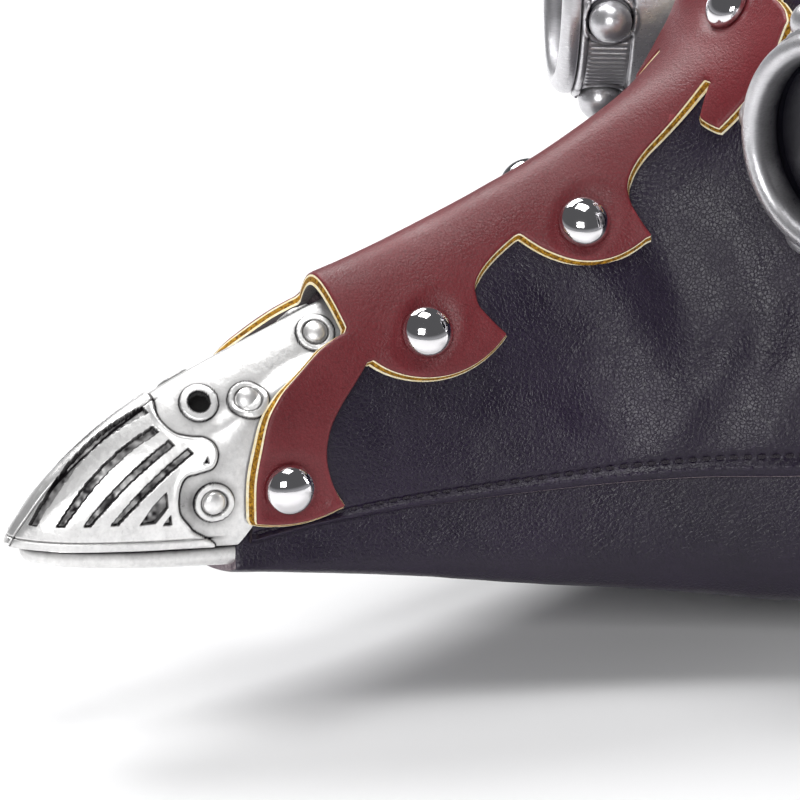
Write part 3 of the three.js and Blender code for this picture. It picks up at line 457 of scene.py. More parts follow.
DARK = leather("dark_leather", linear((20, 11, 31)), linear((34, 21, 46)), 0.6, 0.5, 0.36, 0.3)
RED = leather("red_leather", linear((100, 30, 36)), linear((124, 45, 51)), 0.5, 0.36, 0.42, 0.1)
CREAM = cut_edge("edge_cream", linear((255, 248, 222)), linear((244, 222, 166)), 900.0, 0.3)
CORE = cut_edge("edge_core", linear((96, 58, 14)), linear((222, 166, 48)), 1700.0, 0.9)
DARK_EDGE = cut_edge("edge_dark", linear((20, 14, 26)), linear((92, 80, 84)), 1100.0, 0.6)
PALE_EDGE = cut_edge("edge_pale", linear((150, 138, 142)), linear((88, 76, 86)), 1300.0, 0.5)
LINING = suede("lining", linear((70, 58, 62)))
SILVER = antique("antique_silver", linear((250, 249, 248)), linear((30, 26, 30)), 0.36)
GOGGLE = antique("goggle_silver", linear((226, 225, 228)), linear((34, 31, 42)), 0.3, (1, 1, 8))
CHROME = polished("chrome", linear((240, 238, 240)), 0.03)
STEEL = polished("buckle_plate", linear((226, 224, 226)), 0.1)
GLASS = tinted_glass("tinted_glass")
RUBBER = rubber("gasket_rubber", (0.012, 0.012, 0.012))
KNIT = knitted("pad_knit", linear((52, 48, 54)))
THREAD = thread("seam_thread", linear((34, 22, 40)))


# ---------------------------------------------------------------- meshes
def piece(name, body, points, faces, materials, groups=None, replaces=(), slot=None, crease=38, facts=None):
    """A piece from points in mm; faces is a list of arrays of corners, groups their material numbers."""
    mesh = bpy.data.meshes.new(name)
    mesh.from_pydata((np.asarray(points) * MM).tolist(), [], [f for part in faces for f in part.tolist()])
    if groups is not None:
        mesh.polygons.foreach_set("material_index", np.concatenate(groups).astype(np.int32))
    for m in materials:
        mesh.materials.append(m)
    mesh.polygons.foreach_set("use_smooth", np.ones(len(mesh.polygons), bool))
    mesh.set_sharp_from_angle(angle=math.radians(crease))
    for key, values in (facts or {}).items():
        mesh.attributes.new(key, "FLOAT", "POINT").data.foreach_set("value", np.asarray(values, np.float32))
    mesh.update()
    made = bpy.data.objects.new(name, mesh)
    scene.collection.objects.link(made)
    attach(made, body)
    if replaces:
        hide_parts(*replaces)
    return made


def grid_faces(rows, columns, closed_rows=False, closed_columns=False):
    i = np.arange(rows if closed_rows else rows - 1)[:, None]
    j = np.arange(columns if closed_columns else columns - 1)[None]
    a, b = i * columns + j, ((i + 1) % rows) * columns + j
    k = (j + 1) % columns
    c, d = ((i + 1) % rows) * columns + k, i * columns + k
    return np.stack([a, b, c, d], -1).reshape(-1, 4)


def facing_out(points, faces):
    """The same faces, all turned round if the closed body they make is inside out."""
    volume = 0.0
    for part in faces:
        for k in range(1, part.shape[1] - 1):
            a, b, c = points[part[:, 0]], points[part[:, k]], points[part[:, k + 1]]
            volume += (a * np.cross(b, c)).sum()
    return [part[:, ::-1] for part in faces] if volume < 0 else faces


def slab(top, bottom, faces, levels):
    """A sheet between two copies of a mesh, with a rim of bands between the given levels, 0 to 1."""
    n = len(top)
    sides = [(part, k) for part in faces for k in range(part.shape[1])]
    edges = np.concatenate([np.stack([part[:, k], np.roll(part, -1, 1)[:, k]], -1) for part, k in sides])
    key, back = edges[:, 0] * n + edges[:, 1], edges[:, 1] * n + edges[:, 0]
    edges = edges[~np.isin(key, back)]
    border = np.unique(edges)
    place = np.full(n, -1)
    place[border] = np.arange(len(border))
    rings = [edges]
    points = [top, bottom]
    for k, level in enumerate(levels):
        points.append(top[border] * (1 - level) + bottom[border] * level)
        rings.append(place[edges] + 2 * n + k * len(border))
    rings.append(edges + n)
    walls = [np.stack([b[:, 0], b[:, 1], a[:, 1], a[:, 0]], -1) for a, b in zip(rings, rings[1:])]
    return np.concatenate(points), [faces, [f[:, ::-1] + n for f in faces], walls]


def sheet(name, body, top, bottom, faces, materials, wall_groups, levels, turn_groups=(0, 1), **rest):
    """A slab as a piece: turn_groups has its faces' materials, the back's last, wall_groups the rim's."""
    points, (face, back, walls) = slab(top, bottom, faces, levels)
    parts = face + back + walls
    groups = [np.full(len(f), turn_groups[min(k, len(turn_groups) - 2)]) for k, f in enumerate(faces)]
    groups += [np.full(len(f), turn_groups[-1]) for f in faces]
    groups += [np.full(len(w), g) for w, g in zip(walls, wall_groups)]
    parts = facing_out(points, parts)
    return piece(name, body, points, parts, materials, groups, **rest)


def lathe(profile, segments, wave=None):
    """Rings of points round Z from [radius, height] pairs; wave adds to the radius by angle and height."""
    profile = np.array(profile, float)
    angle = np.linspace(0, 2 * math.pi, segments, endpoint=False)[None]
    r = np.repeat(profile[:, :1], segments, 1)
    z = np.repeat(profile[:, 1:], segments, 1)
    if wave is not None:
        r = r + wave(angle, z, r)
    return np.stack([r * np.cos(angle), r * np.sin(angle), z], -1)


def lathed(rings, closed=False):
    """Points and faces of a turned body, closed by its own profile or by a cap at each end."""
    rows, columns, _ = rings.shape
    faces = grid_faces(rows, columns, closed, True)
    points = rings.reshape(-1, 3)
    if closed:
        return points, facing_out(points, [faces])
    points = np.concatenate([points, rings[:1].mean(1), rings[-1:].mean(1)])
    j = np.arange(columns)
    k = (j + 1) % columns
    last = (rows - 1) * columns
    low = np.stack([np.full(columns, rows * columns), k, j], -1)
    high = np.stack([np.full(columns, rows * columns + 1), last + j, last + k], -1)
    return points, facing_out(points, [faces, low, high])


def turn_to(axis):
    return np.array(Vector((0, 0, 1)).rotation_difference(Vector(axis)).to_matrix())


def stand(points, at, axis):
    return points @ turn_to(axis).T + np.asarray(at)


def catmull_path(points, spacing, closed=False):
    """A smooth curve through points of any width, sampled about every spacing mm of its first three."""
    p = np.array(points, float)
    if closed:
        q = np.concatenate([p[-1:], p, p[:2]])
    else:
        q = np.concatenate([2 * p[:1] - p[1:2], p, 2 * p[-1:] - p[-2:-1]])
    out = []
    for i in range(len(q) - 3):
        count = max(2, int(np.linalg.norm(q[i + 2, :3] - q[i + 1, :3]) / spacing) + 1)
        for t in np.arange(count) / count:
            w = Loft.weights(t)
            out.append(sum(w[k] * q[i + k] for k in range(4)))
    if not closed:
        out.append(p[-1])
    return np.array(out)


# ---------------------------------------------------------------- leather shell
PANEL_FRONT, RIDGE_FRONT, PANEL_SEAM = 0.2, 0.55, 3.095
STITCH, STITCH_V = 2.5, 2.968
FOLDS = [  # soft folds of the cheek: centre, direction, length and width in (u, v), and height in mm
    ((2.55, 1.75), (0.35, 1.0), 0.75, 0.20, 1.0),
    ((3.1, 2.5), (-0.75, 1.0), 0.55, 0.18, 0.8),
    ((2.25, 2.35), (0.6, 1.0), 0.55, 0.22, -0.7),
    ((2.95, 1.7), (0.2, 1.0), 0.6, 0.16, -0.6),
    ((3.75, 2.6), (-0.3, 1.0), 0.45, 0.22, 0.7),
    ((3.5, 1.9), (0.1, 1.0), 0.6, 0.2, -0.5),
]


def panel_height(u, v):
    """Relief of the side panels: soft dents and folds, and the draw of the stitches at the seam."""
    p = shell.face(u, v)
    h = 0.35 * noise(p, 26.0) + 0.16 * noise(p + 50, 9.0) + 0.05 * noise(p, 3.5)
    for (cu, cv), (du, dv), long, wide, high in FOLDS:
        n = math.hypot(du, dv)
        a, b = ((u - cu) * du + (np.abs(v) - cv) * dv) / n, ((u - cu) * dv - (np.abs(v) - cv) * du) / n
        h = h + high * np.exp(-((a / long) ** 2) - (b / wide) ** 2)
    near_seam = np.exp(-(((np.abs(v) - STITCH_V) / 0.03) ** 2))
    draw = 0.5 + 0.5 * np.cos(2 * math.pi * seam_length(u) / STITCH)
    h = h - near_seam * (0.34 + 0.3 * draw)
    welt = np.exp(-(((np.abs(v) - 3.035) / 0.03) ** 2))
    h = h + welt * (0.42 + 0.14 * draw + 0.12 * noise(p, 1.7))
    axis, centre = goggle_axis(1), goggle_centre(1)
    q = np.abs(p[..., :1]) * [1, 0, 0] + p * [0, 1, 1]
    off = (q - centre) @ axis
    r = np.linalg.norm(q - centre - off[..., None] * axis, axis=-1)
    return h * smooth(r, 20.5, 30.0) * (1 - 0.9 * smooth(3 - np.abs(v), 2.2, 3.0))


_seam = shell.face(np.linspace(0, FACE_END, 400), STITCH_V)
_seam_u = np.linspace(0, FACE_END, 400)
_seam_s = np.concatenate([[0], np.linalg.norm(np.diff(_seam, axis=0), axis=-1).cumsum()])


def seam_length(u):
    return np.interp(u, _seam_u, _seam_s)


def hole_in_shell(points, faces, side, radius):
    """Opens the sheet over a goggle: cells inside the radius go, and the rest close up to a circle."""
    axis, centre = goggle_axis(side), goggle_centre(side)
    off = (points - centre) @ axis
    out = points - centre - off[:, None] * axis
    r = np.linalg.norm(out, axis=1)
    near = (r < radius) & (np.abs(off) < 12)
    faces = faces[~near[faces].all(1)]
    moved = points.copy()
    moved[near] = (centre + off[:, None] * axis + out * (radius / np.maximum(r, 1e-6))[:, None])[near]
    return moved, faces, near


def side_panel(name, side):
    us = np.linspace(PANEL_FRONT, FACE_END, 330)
    us = np.concatenate([us[:1], us[:1] + 0.012, us[:1] + 0.03, us[1:]])
    vs = np.concatenate([np.linspace(0, 2.8, 96), np.linspace(2.8, PANEL_SEAM - 0.014, 30)[1:]])
    vs = np.concatenate([vs, [PANEL_SEAM - 0.008, PANEL_SEAM - 0.003, PANEL_SEAM]])
    u, v = np.meshgrid(us, vs, indexing="ij")
    front = RIDGE_FRONT + (PANEL_FRONT - RIDGE_FRONT) * smooth(v, 0.6, 2)
    u = front + (u - PANEL_FRONT) / (FACE_END - PANEL_FRONT) * (FACE_END - front)
    h = panel_height(u, v)
    h = h - 0.32 * np.clip(1 - np.abs(u - front) / 0.04, 0, 1) ** 2
    h = h - np.interp(v - PANEL_SEAM, [-0.02, -0.008, -0.003, 0], [0, 0.25, 0.7, 1.25])
    top, bottom = shell.point(u, v, h), shell.point(u, v, h - LEATHER)
    for part in (top, bottom):
        part[..., 0] = np.maximum(part[..., 0], 0.15)
    top, bottom = (part.reshape(-1, 3) * [side, 1, 1] for part in (top, bottom))
    faces = grid_faces(*u.shape)
    lip = np.arange(len(faces)) % (len(vs) - 1) >= len(vs) - 3
    faces = np.concatenate([faces[~lip], faces[lip]])
    count = lip.sum()
    top, faces, near = hole_in_shell(top, faces, side, 19.3)
    moved, _, _ = hole_in_shell(bottom, faces, side, 19.3)
    bottom = np.where(near[:, None], moved, bottom)
    sheet(
        f"shell_side_{name}", "mask", top, bottom, [faces[:-count], faces[-count:]],
        [DARK, LINING, DARK_EDGE, PALE_EDGE], [2, 2, 2], [0.15, 0.85], turn_groups=(0, 3, 1),
        replaces=[f"side_panel_{name}"], slot="dark_leather",
    )


UNDER_FRONT = 0.11


def under_panel():
    vs = np.concatenate([np.linspace(2.8, 5, 70), np.linspace(-5, -2.8, 70)[1:]])
    us = np.concatenate([[UNDER_FRONT, UNDER_FRONT + 0.01], np.linspace(UNDER_FRONT + 0.03, FACE_END, 240)])
    u, v = np.meshgrid(us, vs, indexing="ij")
    p = shell.face(u, v)
    h = -1.95 + 0.3 * noise(p + 9, 24.0) * smooth(np.abs(v), 3.1, 3.6) + 0.05 * noise(p, 4.0)
    h = h - 0.25 * np.clip(1 - np.abs(u - UNDER_FRONT) / 0.03, 0, 1) ** 2
    top, bottom = shell.point(u, v, h), shell.point(u, v, h - 1.4)
    sheet(
        "shell_under", "mask", top.reshape(-1, 3), bottom.reshape(-1, 3), [grid_faces(*u.shape)],
        [DARK, LINING, PALE_EDGE], [2, 2], [0.5], replaces=["under_panel"], slot="dark_leather",
    )


def capsule(length, radius, rings=7, segments=8):
    """A stitch along X that dips at both ends."""
    t = np.linspace(-1, 1, rings)
    r = radius * np.sqrt(np.maximum(1 - t**6, 0.02))
    a = np.linspace(0, 2 * math.pi, segments, endpoint=False)
    x = np.repeat((t * length / 2)[:, None], segments, 1)
    return np.stack([x, r[:, None] * np.cos(a), r[:, None] * np.sin(a) - (0.35 * t**2)[:, None]], -1)


def stitches(name, body, spots, ahead, up, length, radius, material, slot):
    """A row of thread stitches, merged into one piece."""
    form = capsule(length, radius)
    base, parts = lathed(form)
    points, faces = [], [[] for _ in parts]
    for k, (at, x, z) in enumerate(zip(spots, ahead, up)):
        x = x / np.linalg.norm(x)
        y = np.cross(z, x)
        y = y / np.linalg.norm(y)
        points.append(base @ np.stack([x, y, np.cross(x, y)]) + at)
        for store, part in zip(faces, parts):
            store.append(part + k * len(base))
    joined = [np.concatenate(f) for f in faces]
    return piece(name, body, np.concatenate(points), joined, [material], slot=slot)


def seam_thread(name, side):
    s = np.arange(STITCH, _seam_s[-1] - 1, STITCH)
    s = s[s > np.interp(0.24, _seam_u, _seam_s)]
    u = np.interp(s, _seam_s, _seam_u)
    v = np.full_like(u, STITCH_V)
    spots = shell.point(u, v, panel_height(u, v) + 0.2) * [side, 1, 1]
    ahead = (shell.face(u + 0.01, v) - shell.face(u - 0.01, v)) * [side, 1, 1]
    up = shell.normal(u, v) * [side, 1, 1]
    stitches(f"seam_thread_{name}", "mask", spots, ahead, up, STITCH * 0.8, 0.36, THREAD, "dark_leather")


for side_name, side_sign in SIDES:
    side_panel(side_name, side_sign)
    seam_thread(side_name, side_sign)
under_panel()


# ---------------------------------------------------------------- red ridge strap
def quadratic(a, b, c, n):
    t = np.linspace(0, 1, n)[:, None]
    return (1 - t) ** 2 * a + 2 * t * (1 - t) * b + t**2 * c


def cubic(a, b, c, d, n):
    t = np.linspace(0, 1, n)[:, None]
    return (1 - t) ** 3 * a + 3 * t * (1 - t) ** 2 * b + 3 * t**2 * (1 - t) * c + t**3 * d


def strap_outline():
    """Half outline of the strap in pattern coordinates, from the ridge at its front to the crest."""
    parts = [np.array([[5.6, 0.0]])]

    def end():
        return parts[-1][-1]

    def q(b, c):
        parts.append(quadratic(end(), np.array(b), np.array(c), 24)[1:])

    def b(c1, c2, d):
        parts.append(cubic(end(), np.array(c1), np.array(c2), np.array(d), 40)[1:])

    q((5.7, 6.0), (7.5, 11.0))
    wing = [end(), (1, 13.4), (-1.2, 18.9), (-0.3, 25), (1.4, 32), (1.8, 40), (2.4, 47.6)]
    parts.append(catmull_path([(*p, 0) for p in wing], 0.7)[1:, :2])
    q((8.0, 48.3), (13.5, 44.9))
    q((6.0, 31.0), (13.0, 18.9))
    b((20.0, 26.5), (31.0, 31.5), (39.2, 25.5))
    q((36.6, 22.0), (34.3, 18.0))
    q((32.5, 12.5), (44.2, 10.4))
    b((49.0, 18.0), (57.0, 25.5), (67.3, 23.4))
    q((66.2, 20.0), (65.6, 16.5))
    q((65.5, 11.5), (72.5, 10.2))
    q((80.0, 9.3), (88.2, 9.0))
    q((85.0, 10.4), (82.6, 12.1))
    q((83.4, 15.0), (84.9, 17.4))
    q((95.0, 19.2), (106.6, 19.7))
    q((107.2, 16.0), (107.5, 12.7))
    q((111.0, 7.0), (120.0, 8.0))
    q((128.0, 8.5), (134.0, 0.0))
    half = np.concatenate(parts)
    return resampled(np.concatenate([half, half[-2:0:-1] * [1, -1]]), 0.5)


def resampled(loop, spacing):
    ring = np.concatenate([loop, loop[:1]])
    along = np.concatenate([[0], np.linalg.norm(np.diff(ring, axis=0), axis=1).cumsum()])
    at = np.linspace(0, along[-1], int(along[-1] / spacing), endpoint=False)
    return np.stack([np.interp(at, along, ring[:, k]) for k in (0, 1)], -1)


def edge_distance(points, outline):
    a = outline
    d = np.roll(outline, -1, 0) - a
    best = np.full(len(points), 1e9)
    for start in range(0, len(points), 2000):
        q = points[start : start + 2000, None] - a[None]
        t = np.clip((q * d).sum(-1) / (d**2).sum(-1), 0, 1)
        best[start : start + 2000] = np.linalg.norm(q - t[..., None] * d, axis=-1).min(1)
    return best


def inside(points, outline):
    a, b = outline, np.roll(outline, -1, 0)
    hits = np.zeros(len(points), bool)
    for (x0, y0), (x1, y1) in zip(a, b):
        crosses = (y0 > points[:, 1]) != (y1 > points[:, 1])
        with np.errstate(divide="ignore", invalid="ignore"):
            hits ^= crosses & (points[:, 0] < (x1 - x0) * (points[:, 1] - y0) / (y1 - y0) + x0)
    return hits


STRAP_RIVETS = [("wing", 6.2, 40.2), ("front_scallop", 23.7, 17.8), ("rear_scallop", 56.4, 14.1)]
BROW_RIVETS = [("brow", 101.0), ("crest", 122.0)]
STRAP_LOW, STRAP_HIGH = 0.25, 2.35
RIVET_R, RIVET_H = 4.65, 3.5


def strap_relief(s, g):
    """Dips of the strap under its rivets and slow waves of its surface."""
    h = np.zeros_like(s)
    spots = [(a, sign * b) for _, a, b in STRAP_RIVETS for sign in (1, -1)]
    spots += [(a, 0.0) for _, a in BROW_RIVETS]
    for a, b in spots:
        r = np.hypot(s - a, g - b)
        dip, swell = np.exp(-((np.maximum(r - RIVET_R, 0) / 1.1) ** 2)), np.exp(-(((r - 7.0) / 1.6) ** 2))
        h = h - 0.5 * dip + 0.16 * swell
    at = np.stack([s, g, 0 * s], -1)
    return h + 0.12 * noise(at, 14.0) + 0.04 * noise(at + 31, 4.0)


def inset(outline, depth):
    """A ring at the given depths inside an outline, without the stretches that come too near it."""
    tangent = np.roll(outline, -1, 0) - np.roll(outline, 1, 0)
    inward = np.stack([-tangent[:, 1], tangent[:, 0]], -1) / np.linalg.norm(tangent, axis=1)[:, None]
    if not inside(outline[:1] + inward[:1] * 0.3, outline)[0]:
        inward = -inward
    ring = outline + inward * np.asarray(depth)[..., None]
    keep = inside(ring, outline) & (edge_distance(ring, outline) > 0.93 * np.min(depth))
    return ring[keep], inward


def flare(outward):
    """How far the cut edge slopes outwards: most where it faces forwards or down, least at the back."""
    facing = np.maximum(-outward[:, 0] * 1.1, outward[:, 1] * np.sign(outward[:, 2]) * 0.95)
    return 0.18 + 0.62 * smooth(facing, 0.0, 0.75)


def ridge_strap():
    outer = strap_outline()
    _, inward = inset(outer, 0.5)
    slope = flare(np.concatenate([-inward, outer[:, 1:]], 1))
    ring = outer + inward * slope[:, None]
    keep = inside(ring, outer) & (edge_distance(ring, outer) > 0.9 * slope)
    outline = resampled(ring[keep], 0.5)
    _, inward = inset(outline, 0.5)
    extra = [inset(outline, depth)[0] for depth in (0.12, 0.32, 0.7, 1.25)]
    low, high = outline.min(0), outline.max(0)
    gx, gy = np.meshgrid(np.arange(low[0], high[0], 1.3), np.arange(low[1], high[1], 1.13), indexing="ij")
    gx[:, ::2] += 0.65
    fill = np.stack([gx.ravel(), gy.ravel()], -1)
    fill = fill[inside(fill, outline)]
    extra.append(fill[edge_distance(fill, outline) > 1.7])
    points = np.concatenate([outline, *extra])
    made = delaunay_2d_cdt([Vector(p) for p in points.tolist()], [], [list(range(len(outline)))], 1, 1e-5)
    flat = np.array([tuple(p) for p in made[0]])
    faces = np.array([f for f in made[2] if len(f) == 3])
    faces = faces[inside(flat[faces].mean(1), outline)]
    depth = edge_distance(flat, outline)
    rounding = 0.3 * np.clip(1 - depth / 0.35, 0, 1) ** 2 + 0.1 * np.exp(-depth / 1.0)
    h = STRAP_HIGH - rounding + strap_relief(flat[:, 0], flat[:, 1]) * smooth(depth, 0, 1.5)
    foot = flat.copy()
    nearest = ((flat[:, None] - outline[None]) ** 2).sum(-1).argmin(1)
    outward = -inward[nearest]
    push = flare(np.concatenate([outward, flat[:, 1:]], 1)) * (depth < 1e-3)
    foot += outward * push[:, None]
    top = shell.point(*pattern_uv(flat[:, 0], flat[:, 1]), h)
    bottom = shell.point(*pattern_uv(foot[:, 0], foot[:, 1]), np.full(len(h), STRAP_LOW))
    sheet(
        "red_ridge_strap", "mask", top, bottom, [faces], [RED, LINING, CREAM, CORE], [2, 3, 3, 2],
        [0.2, 0.45, 0.72], replaces=["ridge_strap"], slot="red_leather",
    )


ridge_strap()


# ---------------------------------------------------------------- rivets
def dome(radius, height, skirt=0.35):
    a = np.linspace(0, math.pi / 2, 18)[:-1]
    cap = [(radius * math.cos(x), skirt + (height - skirt) * math.sin(x)) for x in a]
    base = [(radius * 0.6, -1.2), (radius * 0.6, -0.05), (radius * 0.93, 0.0), (radius, skirt * 0.5)]
    return [*base, *cap, (0.02, height)]


def rivet(name, at, axis, radius, height, material, slot, node):
    points, faces = lathed(lathe(dome(radius, height), 56))
    facts = {"patina_and_shade": np.zeros(len(points))}
    piece(
        name, "mask", stand(points, at, axis), faces, [material], replaces=[node], slot=slot, crease=60,
        facts=facts,
    )


for side_name, side_sign in SIDES:
    for place, s, g in STRAP_RIVETS:
        u, v = pattern_uv(s, side_sign * g)
        rivet(
            f"{place}_dome_{side_name}", shell.point(u, v, STRAP_HIGH - 0.2), shell.normal(u, v),
            RIVET_R, RIVET_H, CHROME, "rivet_chrome", f"{place}_rivet_{side_name}",
        )
for place, s in BROW_RIVETS:
    u, v = pattern_uv(s, 0.0)
    at, axis = shell.point(u, v, STRAP_HIGH - 0.1), shell.normal(u, v)
    rivet(f"{place}_dome", at, axis, RIVET_R, RIVET_H, CHROME, "rivet_chrome", f"{place}_rivet")


# ---------------------------------------------------------------- metal tip
GRILLE = [
    (-180, -70.5), (-172, -57), (-160, -47), (-148.2, -41.5), (-148.2, -45.4), (-148.6, -47.5),
    (-147.9, -49.2), (-146.3, -50.6), (-143.9, -51.2), (-141.8, -51.5), (-140.4, -52.6), (-140.1, -54.4),
    (-141.2, -56.4), (-143.7, -57.1), (-146.3, -57.8), (-147.7, -60.4), (-147.8, -64.1), (-145.9, -67.2),
    (-144.0, -71.5),
]
SLOTS = [  # low end, high end, rise above the chord and half width
    ((-172.4, -65.3), (-150.1, -47.2), 2.2, 0.86),
    ((-168.4, -65.2), (-149.5, -49.9), 1.6, 0.76),
    ((-164.1, -65.2), (-147.5, -52.0), 0.95, 0.66),
    ((-159.4, -65.2), (-144.6, -53.4), 0.7, 0.62),
]
SHORT_SLOT = [(-154.9, -65.4), (-152.5, -62.3), (-149.9, -60.0), (-149.9, -62.7), (-152.3, -65.3)]
TRIANGLE_SLOT = [(-150.8, -65.8), (-149.5, -64.2), (-149.4, -65.9)]
PIT = [(-142.7, -55.6), (-141.9, -54.5), (-141.8, -55.7)]
NOSTRIL, NOSTRIL_R, BOSS_R = (-141.0, -46.1), 2.1, 3.45
TIP_RIVETS = [("upper", -117.4, -37.0), ("middle", -132.7, -46.2), ("lower", -141.6, -62.7)]
STRAP_FRONT = (  # girth, and the run at which the strap starts there
    [0, 6, 11, 13.4, 18.9, 25, 32, 40, 47.6, 60],
    [5.6, 5.7, 7.5, 1, -1.2, -0.3, 1.4, 1.8, 2.4, 3],
)


def parting(y):
    return -69.2 - 0.044 * (y + 176)


def shell_lookup():
    """Points of the shell near its front, with their normals and pattern coordinates."""
    u, v = np.meshgrid(np.linspace(-0.7, 0.9, 90), np.linspace(-3.3, 3.3, 180), indexing="ij")
    at, n = shell.face(u, v).reshape(-1, 3), shell.normal(u, v).reshape(-1, 3)
    tree = KDTree(len(at))
    for k, p in enumerate(at.tolist()):
        tree.insert(p, k)
    tree.balance()
    row = np.clip(np.round((u + 0.2) / 7.2 * 110), 0, 110).astype(int).ravel()
    column = np.clip(np.abs(v).ravel() * 12, 0, 36)
    girth = ROW_G[row, np.floor(column).astype(int)]
    run = np.interp(u.ravel(), ROW_U, ROW_S) + np.minimum(u.ravel() + 0.2, 0) * 24
    return tree, at, n, run, girth


SHELL_FRONT = shell_lookup()


def tip_rise(points):
    """How far the casting swells at its back to meet the underside of the strap."""
    tree, at, n, along, girth = SHELL_FRONT
    rise = np.zeros(len(points))
    for k in np.nonzero(points[:, 1] > -152)[0]:
        j = tree.find(points[k])[1]
        gap = -0.25 - (points[k] - at[j]) @ n[j]
        ahead = along[j] - np.interp(girth[j], *STRAP_FRONT)
        rise[k] = max(0.0, min(gap, 4.0)) * smooth(ahead, -9.0, -0.3) * smooth(girth[j], 11.5, 15.0)
    return rise


def softened(grid, rounds):
    """The grid with each value drawn towards the mean of its neighbours, the edges held."""
    for _ in range(rounds):
        for axis in (0, 1):
            ahead, behind = np.roll(grid, -2, axis), np.roll(grid, 2, axis)
            mean = (2 * grid + ahead + behind) / 4
            mean[:3], mean[-3:] = grid[:3], grid[-3:]
            grid = mean
    return grid


def tip_grid():
    """The upper casting's surface: its points, normals, run along the crest and swell."""
    run = np.linspace(0, 6, 400)
    line = tip.face(run, 1.6)
    length = np.concatenate([[0], np.linalg.norm(np.diff(line, axis=0), axis=-1).cumsum()])
    us = np.interp(np.linspace(0, length[-1], 330), length, run)
    u, v = np.meshgrid(us, np.linspace(-3, 3, 361), indexing="ij")
    base, n = tip.face(u, v), tip.normal(u, v)
    rise = softened(tip_rise(base.reshape(-1, 3)).reshape(u.shape), 12)
    return u, base, n, rise


TIP_U, TIP_BASE, TIP_NORMAL, TIP_RISE = tip_grid()


def tip_place(place, side):
    """Index of the surface point that shows at a place seen from the side."""
    away = np.hypot(TIP_BASE[..., 1] - place[0], TIP_BASE[..., 2] - place[1])
    away = away + 99.0 * (TIP_BASE[..., 0] * side < 0)
    return np.unravel_index(away.argmin(), away.shape)


def tip_seat(place, side):
    """The swollen tip's point and normal under a place seen from the side."""
    k = tip_place(place, side)
    return TIP_BASE[k] + TIP_NORMAL[k] * TIP_RISE[k], TIP_NORMAL[k]


def signed(points, outline, rounded=False):
    """Distance into an outline, negative outside it."""
    if rounded:
        outline = np.array(catmull_path([(*p, 0) for p in outline], 0.3, True))[:, :2]
    outline = resampled(np.array(outline, float), 0.2)
    return edge_distance(points, outline) * np.where(inside(points, outline), 1, -1)


def slot_depth(points, low, high, rise, half):
    """Distance over the surface into a curved slot that narrows a little at its low end."""
    low, high = np.array(low), np.array(high)
    flat, mirrored = points[:, 1:], np.abs(points) * [1, -1, -1]
    along = high - low
    across = np.array([-along[1], along[0]]) / np.linalg.norm(along)
    t = np.linspace(0, 1, 60)[:, None]
    line = low + along * t + across * 4 * rise * t * (1 - t)
    spine = np.stack([mirrored[((flat - q) ** 2).sum(1).argmin()] for q in line])
    d = np.linalg.norm(mirrored[:, None] - spine[None], axis=-1)
    k = d.argmin(1)
    top = ((high - flat) @ along) / np.linalg.norm(along)
    within = half * (0.8 + 0.2 * smooth(k / 59, 0, 0.3)) - d.min(1)
    return np.minimum(np.minimum(within, top), flat[:, 1] - low[1])


def near(x, centre, width):
    return np.exp(-(((x - centre) / width) ** 2))


